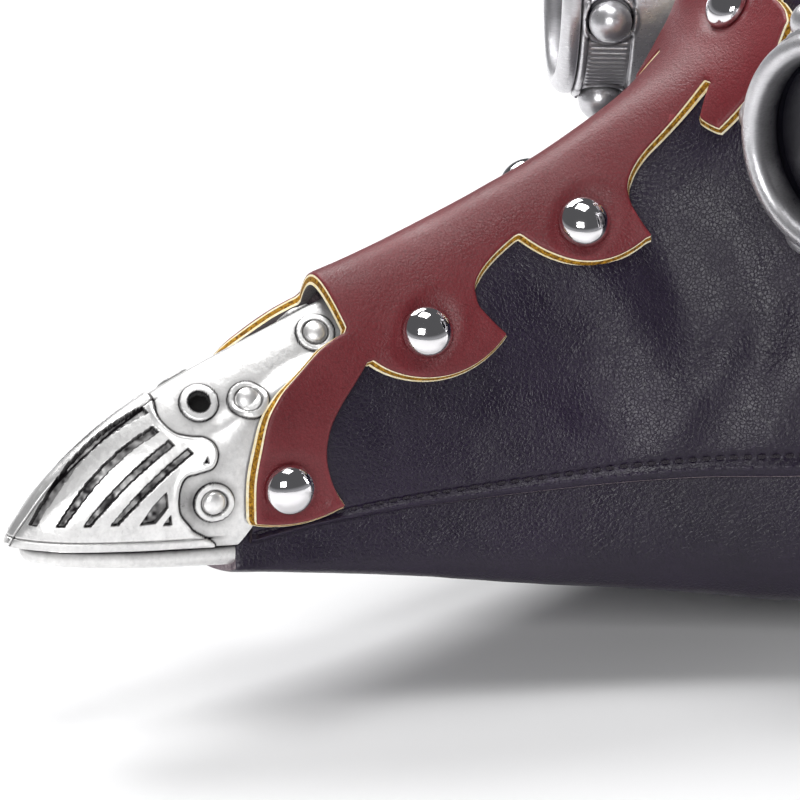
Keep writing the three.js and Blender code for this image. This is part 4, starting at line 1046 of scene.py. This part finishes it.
def tip_upper():
    u, base, n = TIP_U, TIP_BASE, TIP_NORMAL.reshape(-1, 3)
    flat = base[..., 1:].reshape(-1, 2)
    points = base.reshape(-1, 3)
    plate = signed(flat, GRILLE, True)
    cuts = [slot_depth(points, *s) for s in SLOTS] + [signed(flat, s) for s in (SHORT_SLOT, TRIANGLE_SLOT)]
    cuts = np.max(cuts, 0)
    pit = signed(flat, PIT)
    inner, sunk = smooth(cuts, -0.08, 0.1), smooth(pit, -0.08, 0.1)
    h = 0.6 * smooth(plate, -0.1, 0.1) + 0.1 * near(plate, 0.5, 0.4)
    h = h * (1 - inner) - 0.35 * inner - 0.5 * sunk + inner * 0.08 * noise(points, 0.7)
    girth_up = np.linalg.norm(base - tip.face(u, 0 * v), axis=-1).ravel()
    foot = points[:, 2] - parting(points[:, 1])
    ahead = smooth(-flat[:, 0], 147, 148.6)
    crest_groove = near(girth_up, 1.7, 0.2) * ahead
    foot_groove = near(foot, 1.5, 0.17) * smooth(-flat[:, 0], 139, 142)
    h = h - 0.32 * crest_groove - 0.3 * foot_groove
    gone = np.zeros(len(flat), bool)
    floor_tone = np.clip(0.66 + 0.34 * noise(points, 0.75) + 0.16 * noise(points + 20, 2.5), 0.3, 0.95)
    in_slot = inner * np.maximum(floor_tone, 1.0 - smooth(cuts, 0.12, 0.36))
    dark = np.maximum(in_slot, 0.9 * near(cuts, -0.02, 0.12))
    dark = dark + sunk + 0.85 * near(plate, -0.14, 0.2) + 0.8 * crest_groove + 0.65 * foot_groove
    # Painted shade: darker for about 2 mm beside the raised plate's edge, and in the hollow at the plate's
    # lower bend.
    shade = smooth(-plate, 0, 0.05) * np.exp(-np.maximum(-plate, 0) / 1.7)
    hollow = near(flat[:, 0], -146.2, 1.6) * near(flat[:, 1], -62.2, 4.2) * smooth(-plate, 0, 0.1)
    dark = dark + 0.42 * shade + 0.35 * hollow
    for k, place in enumerate([NOSTRIL] + [(y, z) for _, y, z in TIP_RIVETS]):
        for side in (1, -1):
            seat = tip_place(place, side)
            c, axis = TIP_BASE[seat], TIP_NORMAL[seat]
            off = (points - c) @ axis
            r = np.linalg.norm(points - c - off[:, None] * axis, axis=1)
            r = np.where(np.abs(off) < 6, r, 99)
            ring = 0.6 * smooth(BOSS_R - r, -0.1, 0.1)
            h = np.where(r < BOSS_R + 0.25, np.maximum(h, 0) * 0.1 + ring, h)
            dark = np.where(r < BOSS_R, 0.0, dark) + 0.95 * near(r, BOSS_R + 0.12, 0.17)
            # Painted shade: a soft dark halo round each boss.
            dark = dark + 0.3 * near(r, BOSS_R + 0.5, 0.7) * (r > BOSS_R)
            if k == 0:
                gone |= r < NOSTRIL_R
                dark = dark + 0.9 * smooth(NOSTRIL_R + 0.16 - r, 0, 0.14)
            else:
                h = h - 0.5 * smooth(2.45 - r, 0, 0.16)
                dark = dark + 0.95 * near(r, 2.3, 0.17)
    h = h + 0.04 * noise(points, 6.0) + 0.012 * noise(points, 1.6) + TIP_RISE.ravel()
    faces = grid_faces(*u.shape)
    faces = faces[~gone[faces].all(1)]
    top, bottom = points + n * h[:, None], points - n * 1.4
    for part in (top, bottom):
        part[:, 2] = np.maximum(part[:, 2], parting(part[:, 1]))
    made, (face, back, walls) = slab(top, bottom, [faces], [0.5])
    parts = facing_out(made, [*face, *back, *walls])
    dark = np.clip(dark + 0.03, 0, 1)
    rim = np.full(len(made) - 2 * len(dark), 0.7)
    piece(
        "cast_tip_upper", "mask", made, parts, [SILVER], replaces=["tip_upper"], slot="tip_metal", crease=55,
        facts={"patina_and_shade": np.concatenate([dark, np.full(len(dark), 0.6), rim])},
    )


def tip_lower():
    rows = [
        (-137.6, 13.4, -77.2), (-144, 12.8, -76.4), (-152, 11.4, -75.7), (-160, 9.3, -74.9),
        (-167, 6.6, -74.1), (-171.5, 3.8, -73.2), (-173.1, 2.2, -72.6), (-173.6, 1.0, -71.6),
    ]
    rings = []
    for y, w, b in catmull_path(rows, 0.7):
        top = parting(y) - 0.3
        arc = [
            (w * math.cos(x), y, top - 0.9 + (b - top + 0.9) * math.sin(x) ** 0.52)
            for x in np.linspace(0, math.pi, 40)
        ]
        left = [(w - 0.7, y, top), (w - 0.2, y, top - 0.25)]
        right = [(-w + 0.2, y, top - 0.25), (-w + 0.7, y, top)]
        rings.append([*left, *arc, *right])
    points, faces = lathed(np.array(rings)[:, ::-1])
    drop = parting(points[:, 1]) - points[:, 2]
    # Painted shade: darker along the lip's top, under the upper casting.
    dark = 0.9 * smooth(-drop, -1.7, -0.5) + 0.1 * smooth(-drop, -3.2, -1.5) + 0.05
    piece(
        "cast_tip_lip", "mask", points, faces, [SILVER], replaces=["tip_lower"], slot="tip_metal", crease=50,
        facts={"patina_and_shade": np.clip(dark + 0.08 * noise(points, 5.0), 0, 1)},
    )


tip_upper()
tip_lower()
for side_name, side_sign in SIDES:
    for place, y, z in TIP_RIVETS:
        at, axis = tip_seat((y, z), side_sign)
        rivet(
            f"tip_{place}_dome_{side_name}", at + axis * 0.1, axis, 2.1, 1.25, SILVER, "tip_rivet_metal",
            f"tip_{place}_rivet_{side_name}",
        )


# ---------------------------------------------------------------- goggles
DRUM_DEPTH, STUD_R, STUD_Z, STUD_TOP = 18.2, 4.0, 13.2, 26.5
RIBS, RIB_LOW, RIB_HIGH = 108, 9.0, 16.8


def stud_turns(side):
    return [side * math.radians(23.5 + 60 * k) + (math.pi if side > 0 else 0) for k in range(6)]


def on_goggle(name, body, side, points, faces, material, **rest):
    """A piece given in the goggle's own frame, with Z out of the face along its axis."""
    points = stand(points, goggle_centre(side), goggle_axis(side))
    return piece(name, body, points, faces, [material], **rest)


def drum(name, side):
    turns = stud_turns(side)
    outer = [(21.35, 0.35), (21.7, 0.5), (21.85, 0.9)] + [(21.85, z) for z in np.linspace(1.2, 8.4, 26)]
    outer += [(21.75, 8.6), (21.3, 8.8), (21.0, RIB_LOW)]
    outer += [(21.05, z) for z in np.linspace(9.25, 16.55, 34)]
    outer += [(21.0, RIB_HIGH), (21.35, 16.95), (21.75, 17.1)]
    outer += [(21.85, z) for z in np.linspace(17.25, 17.7, 4)]
    outer += [(21.7, 17.9), (21.3, 18.2)]
    inner = [(18.9, 18.2), (18.9, 12.0), (16.5, 12.0), (16.5, -4.8), (18.6, -4.8), (18.6, 0.35)]

    def stud_distance(angle, z):
        gap = np.stack([(angle - t + math.pi) % (2 * math.pi) - math.pi for t in turns])
        return np.hypot(gap * 21.5, z[None] - STUD_Z).min(0)

    def rib_zone(z):
        return smooth(z, RIB_LOW + 0.2, RIB_LOW + 0.6) * smooth(RIB_HIGH - 0.2 - z, 0, 0.4)

    def wave(angle, z, r):
        away = stud_distance(angle, z)
        outside = r > 20.5
        ribbed = rib_zone(z) * outside * smooth(away, 4.8, 5.4)
        ribs = 0.26 * (np.abs(np.sin(angle * RIBS / 2)) ** 0.7 - 0.5) * ribbed
        boss = 0.3 * smooth(5.5 - away, 0, 0.5) * outside
        return ribs + boss - (r - 19.6) * smooth(STUD_R + 0.55 - away, 0, 0.22) * outside

    rings = lathe(outer + inner, 1080, wave)
    points, faces = lathed(rings, True)
    angle = np.arctan2(points[:, 1], points[:, 0])
    z, r = points[:, 2], np.hypot(points[:, 0], points[:, 1])
    away = stud_distance(angle, z)
    outside = r > 19
    edges = near(z, RIB_LOW - 0.1, 0.3) + near(z, RIB_HIGH + 0.05, 0.25)
    dark = 0.8 * smooth(STUD_R + 0.65 - away, 0, 0.3) + 0.5 * edges
    ribbed = rib_zone(z) * smooth(away, 4.9, 5.4)
    dark = dark + 0.55 * ribbed * (1 - np.abs(np.sin(angle * RIBS / 2)) ** 0.5) + 0.14 * ribbed
    # The last term is painted shade: darker along the drum's back edge, where it sits against the leather.
    dark = dark + 0.5 * near(away, 5.6, 0.3) + 0.3 * smooth(1.4 - z, 0, 1)
    dark = np.where(outside, dark, 0.75) + 0.12 * noise(points, 6.0)
    on_goggle(
        f"drum_{name}", "mask", side, points, faces, GOGGLE, replaces=[f"goggle_drum_{name}"],
        slot="goggle_metal", crease=50, facts={"patina_and_shade": np.clip(dark, 0, 1)},
    )


def bezel(name, side):
    base = DRUM_DEPTH + 0.3
    profile = [
        (16.8, 15.8), (18.5, 15.8), (18.5, base), (20.9, base), (21.15, base + 0.2), (21.2, base + 0.5),
        (21.2, base + 1.2), (21.1, base + 1.7), (20.85, base + 2.2), (20.5, base + 2.65),
        (20.05, base + 3.05), (19.6, base + 3.3), (19.1, base + 3.45), (18.6, base + 3.45),
        (18.1, base + 3.3), (17.6, base + 2.95),
        (17.2, base + 2.5), (16.95, base + 1.9), (16.8, base + 1.2),
    ]
    points, faces = lathed(lathe(profile, 240), True)
    z, r = points[:, 2], np.hypot(points[:, 0], points[:, 1])
    # Darker towards the inner rim; the darkening at the seat on the drum is painted shade.
    dark = 0.6 * smooth(18.0 - r, 0, 1.0) + 0.5 * smooth(base + 0.35 - z, 0, 0.4) + 0.1 * noise(points, 7.0)
    on_goggle(
        f"bezel_{name}", f"{name}_bezel", side, points, faces, GOGGLE, replaces=[f"goggle_bezel_{name}"],
        slot="goggle_metal", crease=50, facts={"patina_and_shade": np.clip(dark, 0, 1)},
    )


def lens(name, side):
    curve = [(18.3 * t, 15.45 - 0.55 * t**2) for t in np.linspace(0.002, 1, 14)]
    back = [(18.3 * t, 13.6) for t in np.linspace(1, 0.002, 8)]
    points, faces = lathed(lathe(curve + back, 120))
    on_goggle(
        f"lens_{name}", f"{name}_lens", side, points, faces, GLASS, replaces=[f"goggle_lens_{name}"],
        slot="lens_glass",
    )


def stud(name, side, k, turn):
    a = np.linspace(-0.55, math.pi / 2, 26)[:-1]
    ball = [(STUD_R * math.cos(x), STUD_TOP - STUD_R + STUD_R * math.sin(x)) for x in a]
    profile = [(2.4, 19.8), (2.4, ball[0][1] - 0.25), *ball, (0.02, STUD_TOP)]
    points, faces = lathed(lathe(profile, 48))
    dark = 0.75 * smooth(21.2 - points[:, 2], 0, 1.8) + 0.06
    x, y, z = points.T
    points = np.stack([z, y, -x + STUD_Z], -1)
    c, s = math.cos(turn), math.sin(turn)
    points = points @ np.array([[c, s, 0], [-s, c, 0], [0, 0, 1]])
    on_goggle(
        f"stud_{name}_{k + 1}", "mask", side, points, faces, GOGGLE,
        replaces=[f"goggle_stud_{name}_{k + 1}"], slot="stud_metal", crease=60,
        facts={"patina_and_shade": np.clip(dark, 0, 1)},
    )


for side_name, side_sign in SIDES:
    drum(side_name, side_sign)
    bezel(side_name, side_sign)
    lens(side_name, side_sign)
    for k, turn in enumerate(stud_turns(side_sign)):
        stud(side_name, side_sign, k, turn)
    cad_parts[f"goggle_gasket_{side_name}"].data.materials.clear()
    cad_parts[f"goggle_gasket_{side_name}"].data.materials.append(RUBBER)
    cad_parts[f"goggle_clamp_ring_{side_name}"].data.materials.clear()
    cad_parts[f"goggle_clamp_ring_{side_name}"].data.materials.append(GOGGLE)


# ---------------------------------------------------------------- edge binding round the face
def face_binding():
    vs = np.concatenate([np.linspace(0, 5, 240), np.linspace(-5, 0, 240)[1:-1]])
    edge, out = shell.face(FACE_END, vs), shell.normal(FACE_END, vs)
    back = edge - shell.face(FACE_END - 0.1, vs)
    back /= np.linalg.norm(back, axis=-1, keepdims=True)
    a = np.linspace(0, 2 * math.pi, 28, endpoint=False)
    half_h, half_b = 2.5, 1.45
    x = np.sign(np.cos(a)) * np.abs(np.cos(a)) ** 0.6 * half_h - 2.0
    y = np.sign(np.sin(a)) * np.abs(np.sin(a)) ** 0.6 * half_b + 2.4
    swell = 1 + 0.05 * noise(edge, 5.0)[:, None]
    rings = edge[:, None] + out[:, None] * (x * swell)[..., None] + back[:, None] * y[None, :, None]
    points = rings.reshape(-1, 3)
    faces = facing_out(points, [grid_faces(*rings.shape[:2], True, True)])
    piece("edge_binding", "mask", points, faces, [DARK], replaces=["face_binding"], slot="edge_leather")
    keep = np.arange(0, len(vs), 3)
    spots = edge[keep] + out[keep] * 0.56 + back[keep] * 2.4
    ahead = np.roll(edge, -1, 0)[keep] - edge[keep]
    stitches("binding_thread", "mask", spots, ahead, out[keep], 1.9, 0.28, THREAD, "edge_leather")


face_binding()


# ---------------------------------------------------------------- harness
BAND_Z, WIDTH, THICK = 24.0, 20.0, 2.0
BAR_X, HINGE_Y, ROLLER_Y, FOLD_R = 81.5, 80.0, 96.0, 2.6
TEMPLE_LIFT = 2.2
HEAD_R, HEAD_Y = 82.0, 112.0


def plan(x, y, ox, oy):
    return (x, y, BAND_Z, ox, oy, 0.0)


def on_shell(uvs):
    rows = []
    for u, v in uvs:
        rows.append((*shell.point(u, v, TEMPLE_LIFT), *shell.normal(u, v)))
    return rows


def strap(name, node, path, slots=(), spacing=1.2, slot="strap_leather"):
    """A flat strap along a path of points and outward directions, with rounded edges and slots."""
    path = catmull_path(path, spacing)
    at, out = path[:, :3], path[:, 3:]
    ahead = np.gradient(at, axis=0)
    across = np.cross(out, ahead)
    across /= np.linalg.norm(across, axis=1, keepdims=True)
    face = np.cross(ahead, across)
    face /= np.linalg.norm(face, axis=1, keepdims=True)
    w = np.concatenate([[-10, -9.94, -9.8, -9.5, -9], np.linspace(-8.5, 8.5, 28), [9, 9.5, 9.8, 9.94, 10]])
    edge = WIDTH / 2 - np.abs(w)
    soft = 0.25 * np.clip(1 - edge / 0.5, 0, 1) ** 2 + 0.12 * np.exp(-(((edge - 1.6) / 0.22) ** 2))
    line = at[:, None] + across[:, None] * w[None, :, None]
    relief = 0.05 * noise(line, 7.0)
    top = line + face[:, None] * (THICK / 2 - 0.05 - soft[None] + relief)[..., None]
    bottom = line - face[:, None] * (THICK / 2 - 0.05 - 0.6 * soft[None] - relief)[..., None]
    faces = grid_faces(len(at), len(w))
    middle = line.reshape(-1, 3)[faces].mean(1)
    for low, high in slots:
        faces = faces[~((middle > low) & (middle < high)).all(1)]
        middle = line.reshape(-1, 3)[faces].mean(1)
    return sheet(
        name, "mask", top.reshape(-1, 3), bottom.reshape(-1, 3), [faces], [RED, LINING, CREAM, CORE],
        [2, 3, 2], [0.22, 0.78], replaces=[node], slot=slot,
    )


TEMPLE = on_shell([(6.46, 1.43), (6.62, 1.5), (6.78, 1.56), (6.94, 1.62)])
fold = [
    plan(BAR_X + FOLD_R * math.cos(a), HINGE_Y + FOLD_R * math.sin(a), math.cos(a), math.sin(a))
    for a in np.linspace(0, math.pi, 9)
]
strap(
    "temple_strap_left", "left_strap",
    [*TEMPLE, plan(81.2, 54, 1, -0.3), plan(83.7, 61, 1, -0.2), plan(84.1, 68, 1, 0), *fold,
     plan(79.3, 77.5, -1, 0), plan(81.2, 73.5, -1, 0), plan(81.8, 70, -1, 0), plan(81.8, 62, -1, 0)],
    [((BAR_X - 8, HINGE_Y - 3.6, BAND_Z - 2.3), (BAR_X + 8, HINGE_Y + 5.6, BAND_Z + 2.3))], spacing=0.6,
)
tail = [
    plan(86.5, 46, 1, 0), plan(86.7, 56, 1, 0), plan(86.7, 80, 1, 0), plan(86, 84, 1, 0.3),
    plan(82.4, 88.4, 1, 0.8), plan(79, 91.6, 1, 0.6), plan(77.6, 95, 1, 0), plan(77.6, 98, 1, 0),
    plan(78.4, 104, 1, 0),
]
back_arc = [
    plan((HEAD_R - 2) * math.cos(a), HEAD_Y + (HEAD_R - 2) * math.sin(a), math.cos(a), math.sin(a))
    for a in np.linspace(0, math.pi, 31)
]
right_run = [plan(-81, 90, -1, 0), plan(-82, 70, -1, 0), plan(-81.4, 56, -1, -0.2)]
right_run += [(-p[0], p[1], p[2], -p[3], p[4], p[5]) for p in TEMPLE[::-1]]
strap(
    "rear_strap_band", "rear_strap", [*tail, *back_arc, *right_run],
    [((76, 82.8, BAND_Z - 1.7), (88, 93.6, BAND_Z + 1.7))],
)
REAR_Y, LOOP_R = HEAD_Y + HEAD_R - 2, 3.2


def crown(y, z, oy, oz):
    return (0.0, y, z, 0.0, oy, oz)


crown_path = on_shell([(u, 0.0) for u in (6.34, 6.56, 6.78, 7)]) + [
    crown(-2.5, 72, -1, 0.4), crown(6, 88, -1, 0.6), crown(22, 104, -0.7, 0.8), crown(44, 115, -0.4, 1),
    crown(70, 120, -0.1, 1), crown(98, 120, 0.1, 1), crown(126, 114, 0.4, 1), crown(151, 101, 0.7, 0.8),
    crown(172, 81, 0.9, 0.6), crown(186, 58, 1, 0.3), crown(REAR_Y + LOOP_R, 38, 1, 0),
]
crown_path += [
    crown(REAR_Y + LOOP_R * math.cos(a), BAND_Z - 11 - LOOP_R * math.sin(a), math.cos(a), -math.sin(a))
    for a in np.linspace(0, math.pi, 9)
]
crown_path += [crown(REAR_Y - LOOP_R, 38, -1, 0), crown(REAR_Y - LOOP_R, 46, -1, 0)]
strap("crown_strap_band", "crown_strap", crown_path)

for side_name, side_sign in SIDES:
    for k, (u, v) in enumerate([(6.5, 1.45), (6.7, 1.53)]):
        at = shell.point(u, v, TEMPLE_LIFT + 0.95) * [side_sign, 1, 1]
        axis = shell.normal(u, v) * [side_sign, 1, 1]
        end = f"{side_name}_{k + 1}"
        rivet(f"temple_dome_{end}", at, axis, 3.8, 2.7, CHROME, "rivet_chrome", f"temple_rivet_{end}")
for k, u in enumerate((6.5, 6.86)):
    at = shell.point(u, 0.0, TEMPLE_LIFT + 0.95)
    axis = shell.normal(u, 0.0)
    rivet(f"crown_dome_{k + 1}", at, axis, 3.8, 2.7, CHROME, "rivet_chrome", f"crown_rivet_{k + 1}")


def tube(path, radius, closed, squash=(1, 1), segments=16, roundness=1.0):
    """A bar along a path of points in a plane x = constant or z = constant."""
    path = np.array(path, float)
    ahead = np.roll(path, -1, 0) - np.roll(path, 1, 0) if closed else np.gradient(path, axis=0)
    ahead /= np.linalg.norm(ahead, axis=1, keepdims=True)
    flat = np.array([1.0, 0, 0]) if np.ptp(path[:, 0]) < 1e-6 else np.array([0, 0, 1.0])
    side = np.cross(ahead, flat)
    a = np.linspace(0, 2 * math.pi, segments, endpoint=False)
    x = np.sign(np.cos(a)) * np.abs(np.cos(a)) ** roundness * radius * squash[0]
    y = np.sign(np.sin(a)) * np.abs(np.sin(a)) ** roundness * radius * squash[1]
    rings = path[:, None] + side[:, None] * x[None, :, None] + flat * y[None, :, None]
    if closed:
        points = rings.reshape(-1, 3)
        return points, facing_out(points, [grid_faces(*rings.shape[:2], True, True)])
    return lathed(rings)


def rounded_loop(x, y_low, y_high, z_low, z_high, corner, n=10):
    """A rounded rectangle in the plane x = constant."""
    out = []
    corners = ((y_high, z_high, 0), (y_low, z_high, 90), (y_low, z_low, 180), (y_high, z_low, 270))
    for cy, cz, start in corners:
        sy, sz = (1 if cy == y_high else -1), (1 if cz == z_high else -1)
        for a in np.radians(np.linspace(start, start + 90, n)):
            out.append((x, cy - sy * corner + corner * math.cos(a), cz - sz * corner + corner * math.sin(a)))
    dense = []
    for p, q in zip(out, out[1:] + out[:1]):
        count = max(1, int(math.dist(p, q) / 1.0))
        dense += [tuple(np.array(p) + (np.array(q) - np.array(p)) * t / count) for t in range(count)]
    return dense


frame_loop = rounded_loop(BAR_X, HINGE_Y, ROLLER_Y, BAND_Z - 13, BAND_Z + 13, 2.2)
points, faces = tube(frame_loop, 1.0, True, (1, 1), 20, 0.85)
piece(
    "buckle_frame_bar", "buckle_frame", points, faces, [STEEL], replaces=["buckle_frame"],
    slot="buckle_steel", crease=60,
)
roller = [(1.75, -10.5), (2.2, -10.6), (2.4, -10.35), *[(2.4, z) for z in np.linspace(-9.8, 9.8, 8)]]
roller += [(2.4, 10.35), (2.2, 10.6), (1.75, 10.5)]
points, faces = lathed(lathe(roller, 60), True)
piece(
    "buckle_roller_tube", "buckle_roller", points + [BAR_X, ROLLER_Y, BAND_Z], faces, [STEEL],
    replaces=["buckle_roller"], slot="buckle_steel",
)
bends = ((2.2, 0.6), (2.6, 5), (3.4, 10), (3.9, 15), (3.4, 18.4))
arm = catmull_path([(BAR_X + x, HINGE_Y + y, BAND_Z) for x, y in bends], 0.7)
arm_points, arm_faces = tube(arm, 0.95, False, (0.85, 1.1), 14, 0.8)
eye = [(1.8, -1.05), (2.7, -1.05), (2.9, -0.8), (2.9, 0.8), (2.7, 1.05), (1.8, 1.05)]
eye_points, eye_faces = lathed(lathe(eye, 48), True)
eye_points = eye_points + [BAR_X, HINGE_Y, BAND_Z]
prong = [*arm_faces, *[f + len(arm_points) for f in eye_faces]]
piece(
    "buckle_prong_bar", "buckle_prong", np.concatenate([arm_points, eye_points]), prong, [STEEL],
    replaces=["buckle_prong"], slot="buckle_steel", crease=60,
)


def keeper():
    """The sliding loop round strap and tail: a narrow strap bent round them and closed on itself."""
    cx, cy, half_x, half_z, wall = 83.95, 65.0, 4.1, 10.5, 1.5
    reach_x, reach_z = half_x + wall, half_z + wall
    loop = rounded_loop(0, cx - reach_x, cx + reach_x, BAND_Z - reach_z, BAND_Z + reach_z, 2.2)
    outer = np.array([(y, cy, z) for _, y, z in loop])
    centre = np.array([cx, cy, BAND_Z])
    ahead = np.roll(outer, -1, 0) - np.roll(outer, 1, 0)
    ahead /= np.linalg.norm(ahead, axis=1, keepdims=True)
    inward = np.cross(ahead, [0, 1, 0])
    inward *= np.sign(((centre - outer) * inward).sum(1))[:, None]
    w = np.array([-3.5, -3.44, -3.3, -3.0, -2, -1, 0, 1, 2, 3.0, 3.3, 3.44, 3.5])
    soft = 0.22 * np.clip(1 - (3.5 - np.abs(w)) / 0.5, 0, 1) ** 2
    top = outer[:, None] + w[None, :, None] * np.array([0, 1.0, 0]) + inward[:, None] * soft[None, :, None]
    bottom = outer[:, None] + w[None, :, None] * np.array([0, 1.0, 0]) + inward[:, None] * (wall - 0.05)
    faces = grid_faces(len(outer), len(w), True)
    sheet(
        "keeper_loop", "strap_keeper", top.reshape(-1, 3), bottom.reshape(-1, 3), [faces],
        [RED, LINING, CREAM, CORE], [2, 3, 2], [0.25, 0.75], replaces=["strap_keeper"], slot="strap_leather",
    )


keeper()


# ---------------------------------------------------------------- pads
def pad(name, node, rounds):
    """A knitted pad blown up by a short cloth simulation from a slightly smaller copy of its solid."""
    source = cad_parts[node]
    mesh = source.data.copy()
    mesh.name = name
    co = np.array([v.co for v in mesh.vertices])
    centre = (co.min(0) + co.max(0)) / 2
    size = co.max(0) - co.min(0)
    co = centre + (co - centre) * (1 - 0.0022 / size)
    mesh.vertices.foreach_set("co", co.ravel())
    made = bpy.data.objects.new(name, mesh)
    scene.collection.objects.link(made)
    mesh.materials.clear()
    mesh.materials.append(KNIT)
    bpy.context.view_layer.objects.active = made
    remesh = made.modifiers.new("remesh", "REMESH")
    remesh.mode, remesh.voxel_size = "VOXEL", 0.0026
    bpy.ops.object.modifier_apply(modifier="remesh")
    before = np.array([v.co for v in made.data.vertices])
    cloth = made.modifiers.new("cloth", "CLOTH")
    cloth.settings.use_pressure = True
    cloth.settings.uniform_pressure_force = 4.0
    cloth.settings.effector_weights.gravity = 0
    cloth.settings.quality = 5
    for number in range(1, rounds + 1):
        scene.frame_set(number)
    bpy.ops.object.modifier_apply(modifier="cloth")
    scene.frame_set(1)
    after = np.array([v.co for v in made.data.vertices])
    move = after - before
    far = np.linalg.norm(move, axis=1, keepdims=True)
    after = before + move * np.minimum(1, 0.0012 / np.maximum(far, 1e-9))
    made.data.vertices.foreach_set("co", after.ravel())
    subdivision = made.modifiers.new("subdivision", "SUBSURF")
    subdivision.levels = subdivision.render_levels = 1
    made.data.polygons.foreach_set("use_smooth", np.ones(len(made.data.polygons), bool))
    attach(made, "mask")
    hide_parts(node)


pad("brow_cushion", "brow_pad", 20)
pad("cheek_cushion_left", "cheek_pad_left", 20)
pad("cheek_cushion_right", "cheek_pad_right", 20)


# ---------------------------------------------------------------- floor
def floor():
    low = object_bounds()[0].z
    mesh = bpy.data.meshes.new("floor")
    corners = [(x, y, low - 0.0005) for x, y in ((-4, -4), (4, -4), (4, 4), (-4, 4))]
    mesh.from_pydata(corners, [], [(0, 1, 2, 3)])
    p = Paint("floor", Roughness=0.9)
    p.set(Base_Color=p.blend(p.noise(1.2, 2), (0.93, 0.93, 0.94), (0.96, 0.96, 0.96)))
    mesh.materials.append(p.material)
    made = bpy.data.objects.new("floor", mesh)
    scene.collection.objects.link(made)
    made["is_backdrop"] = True


floor()
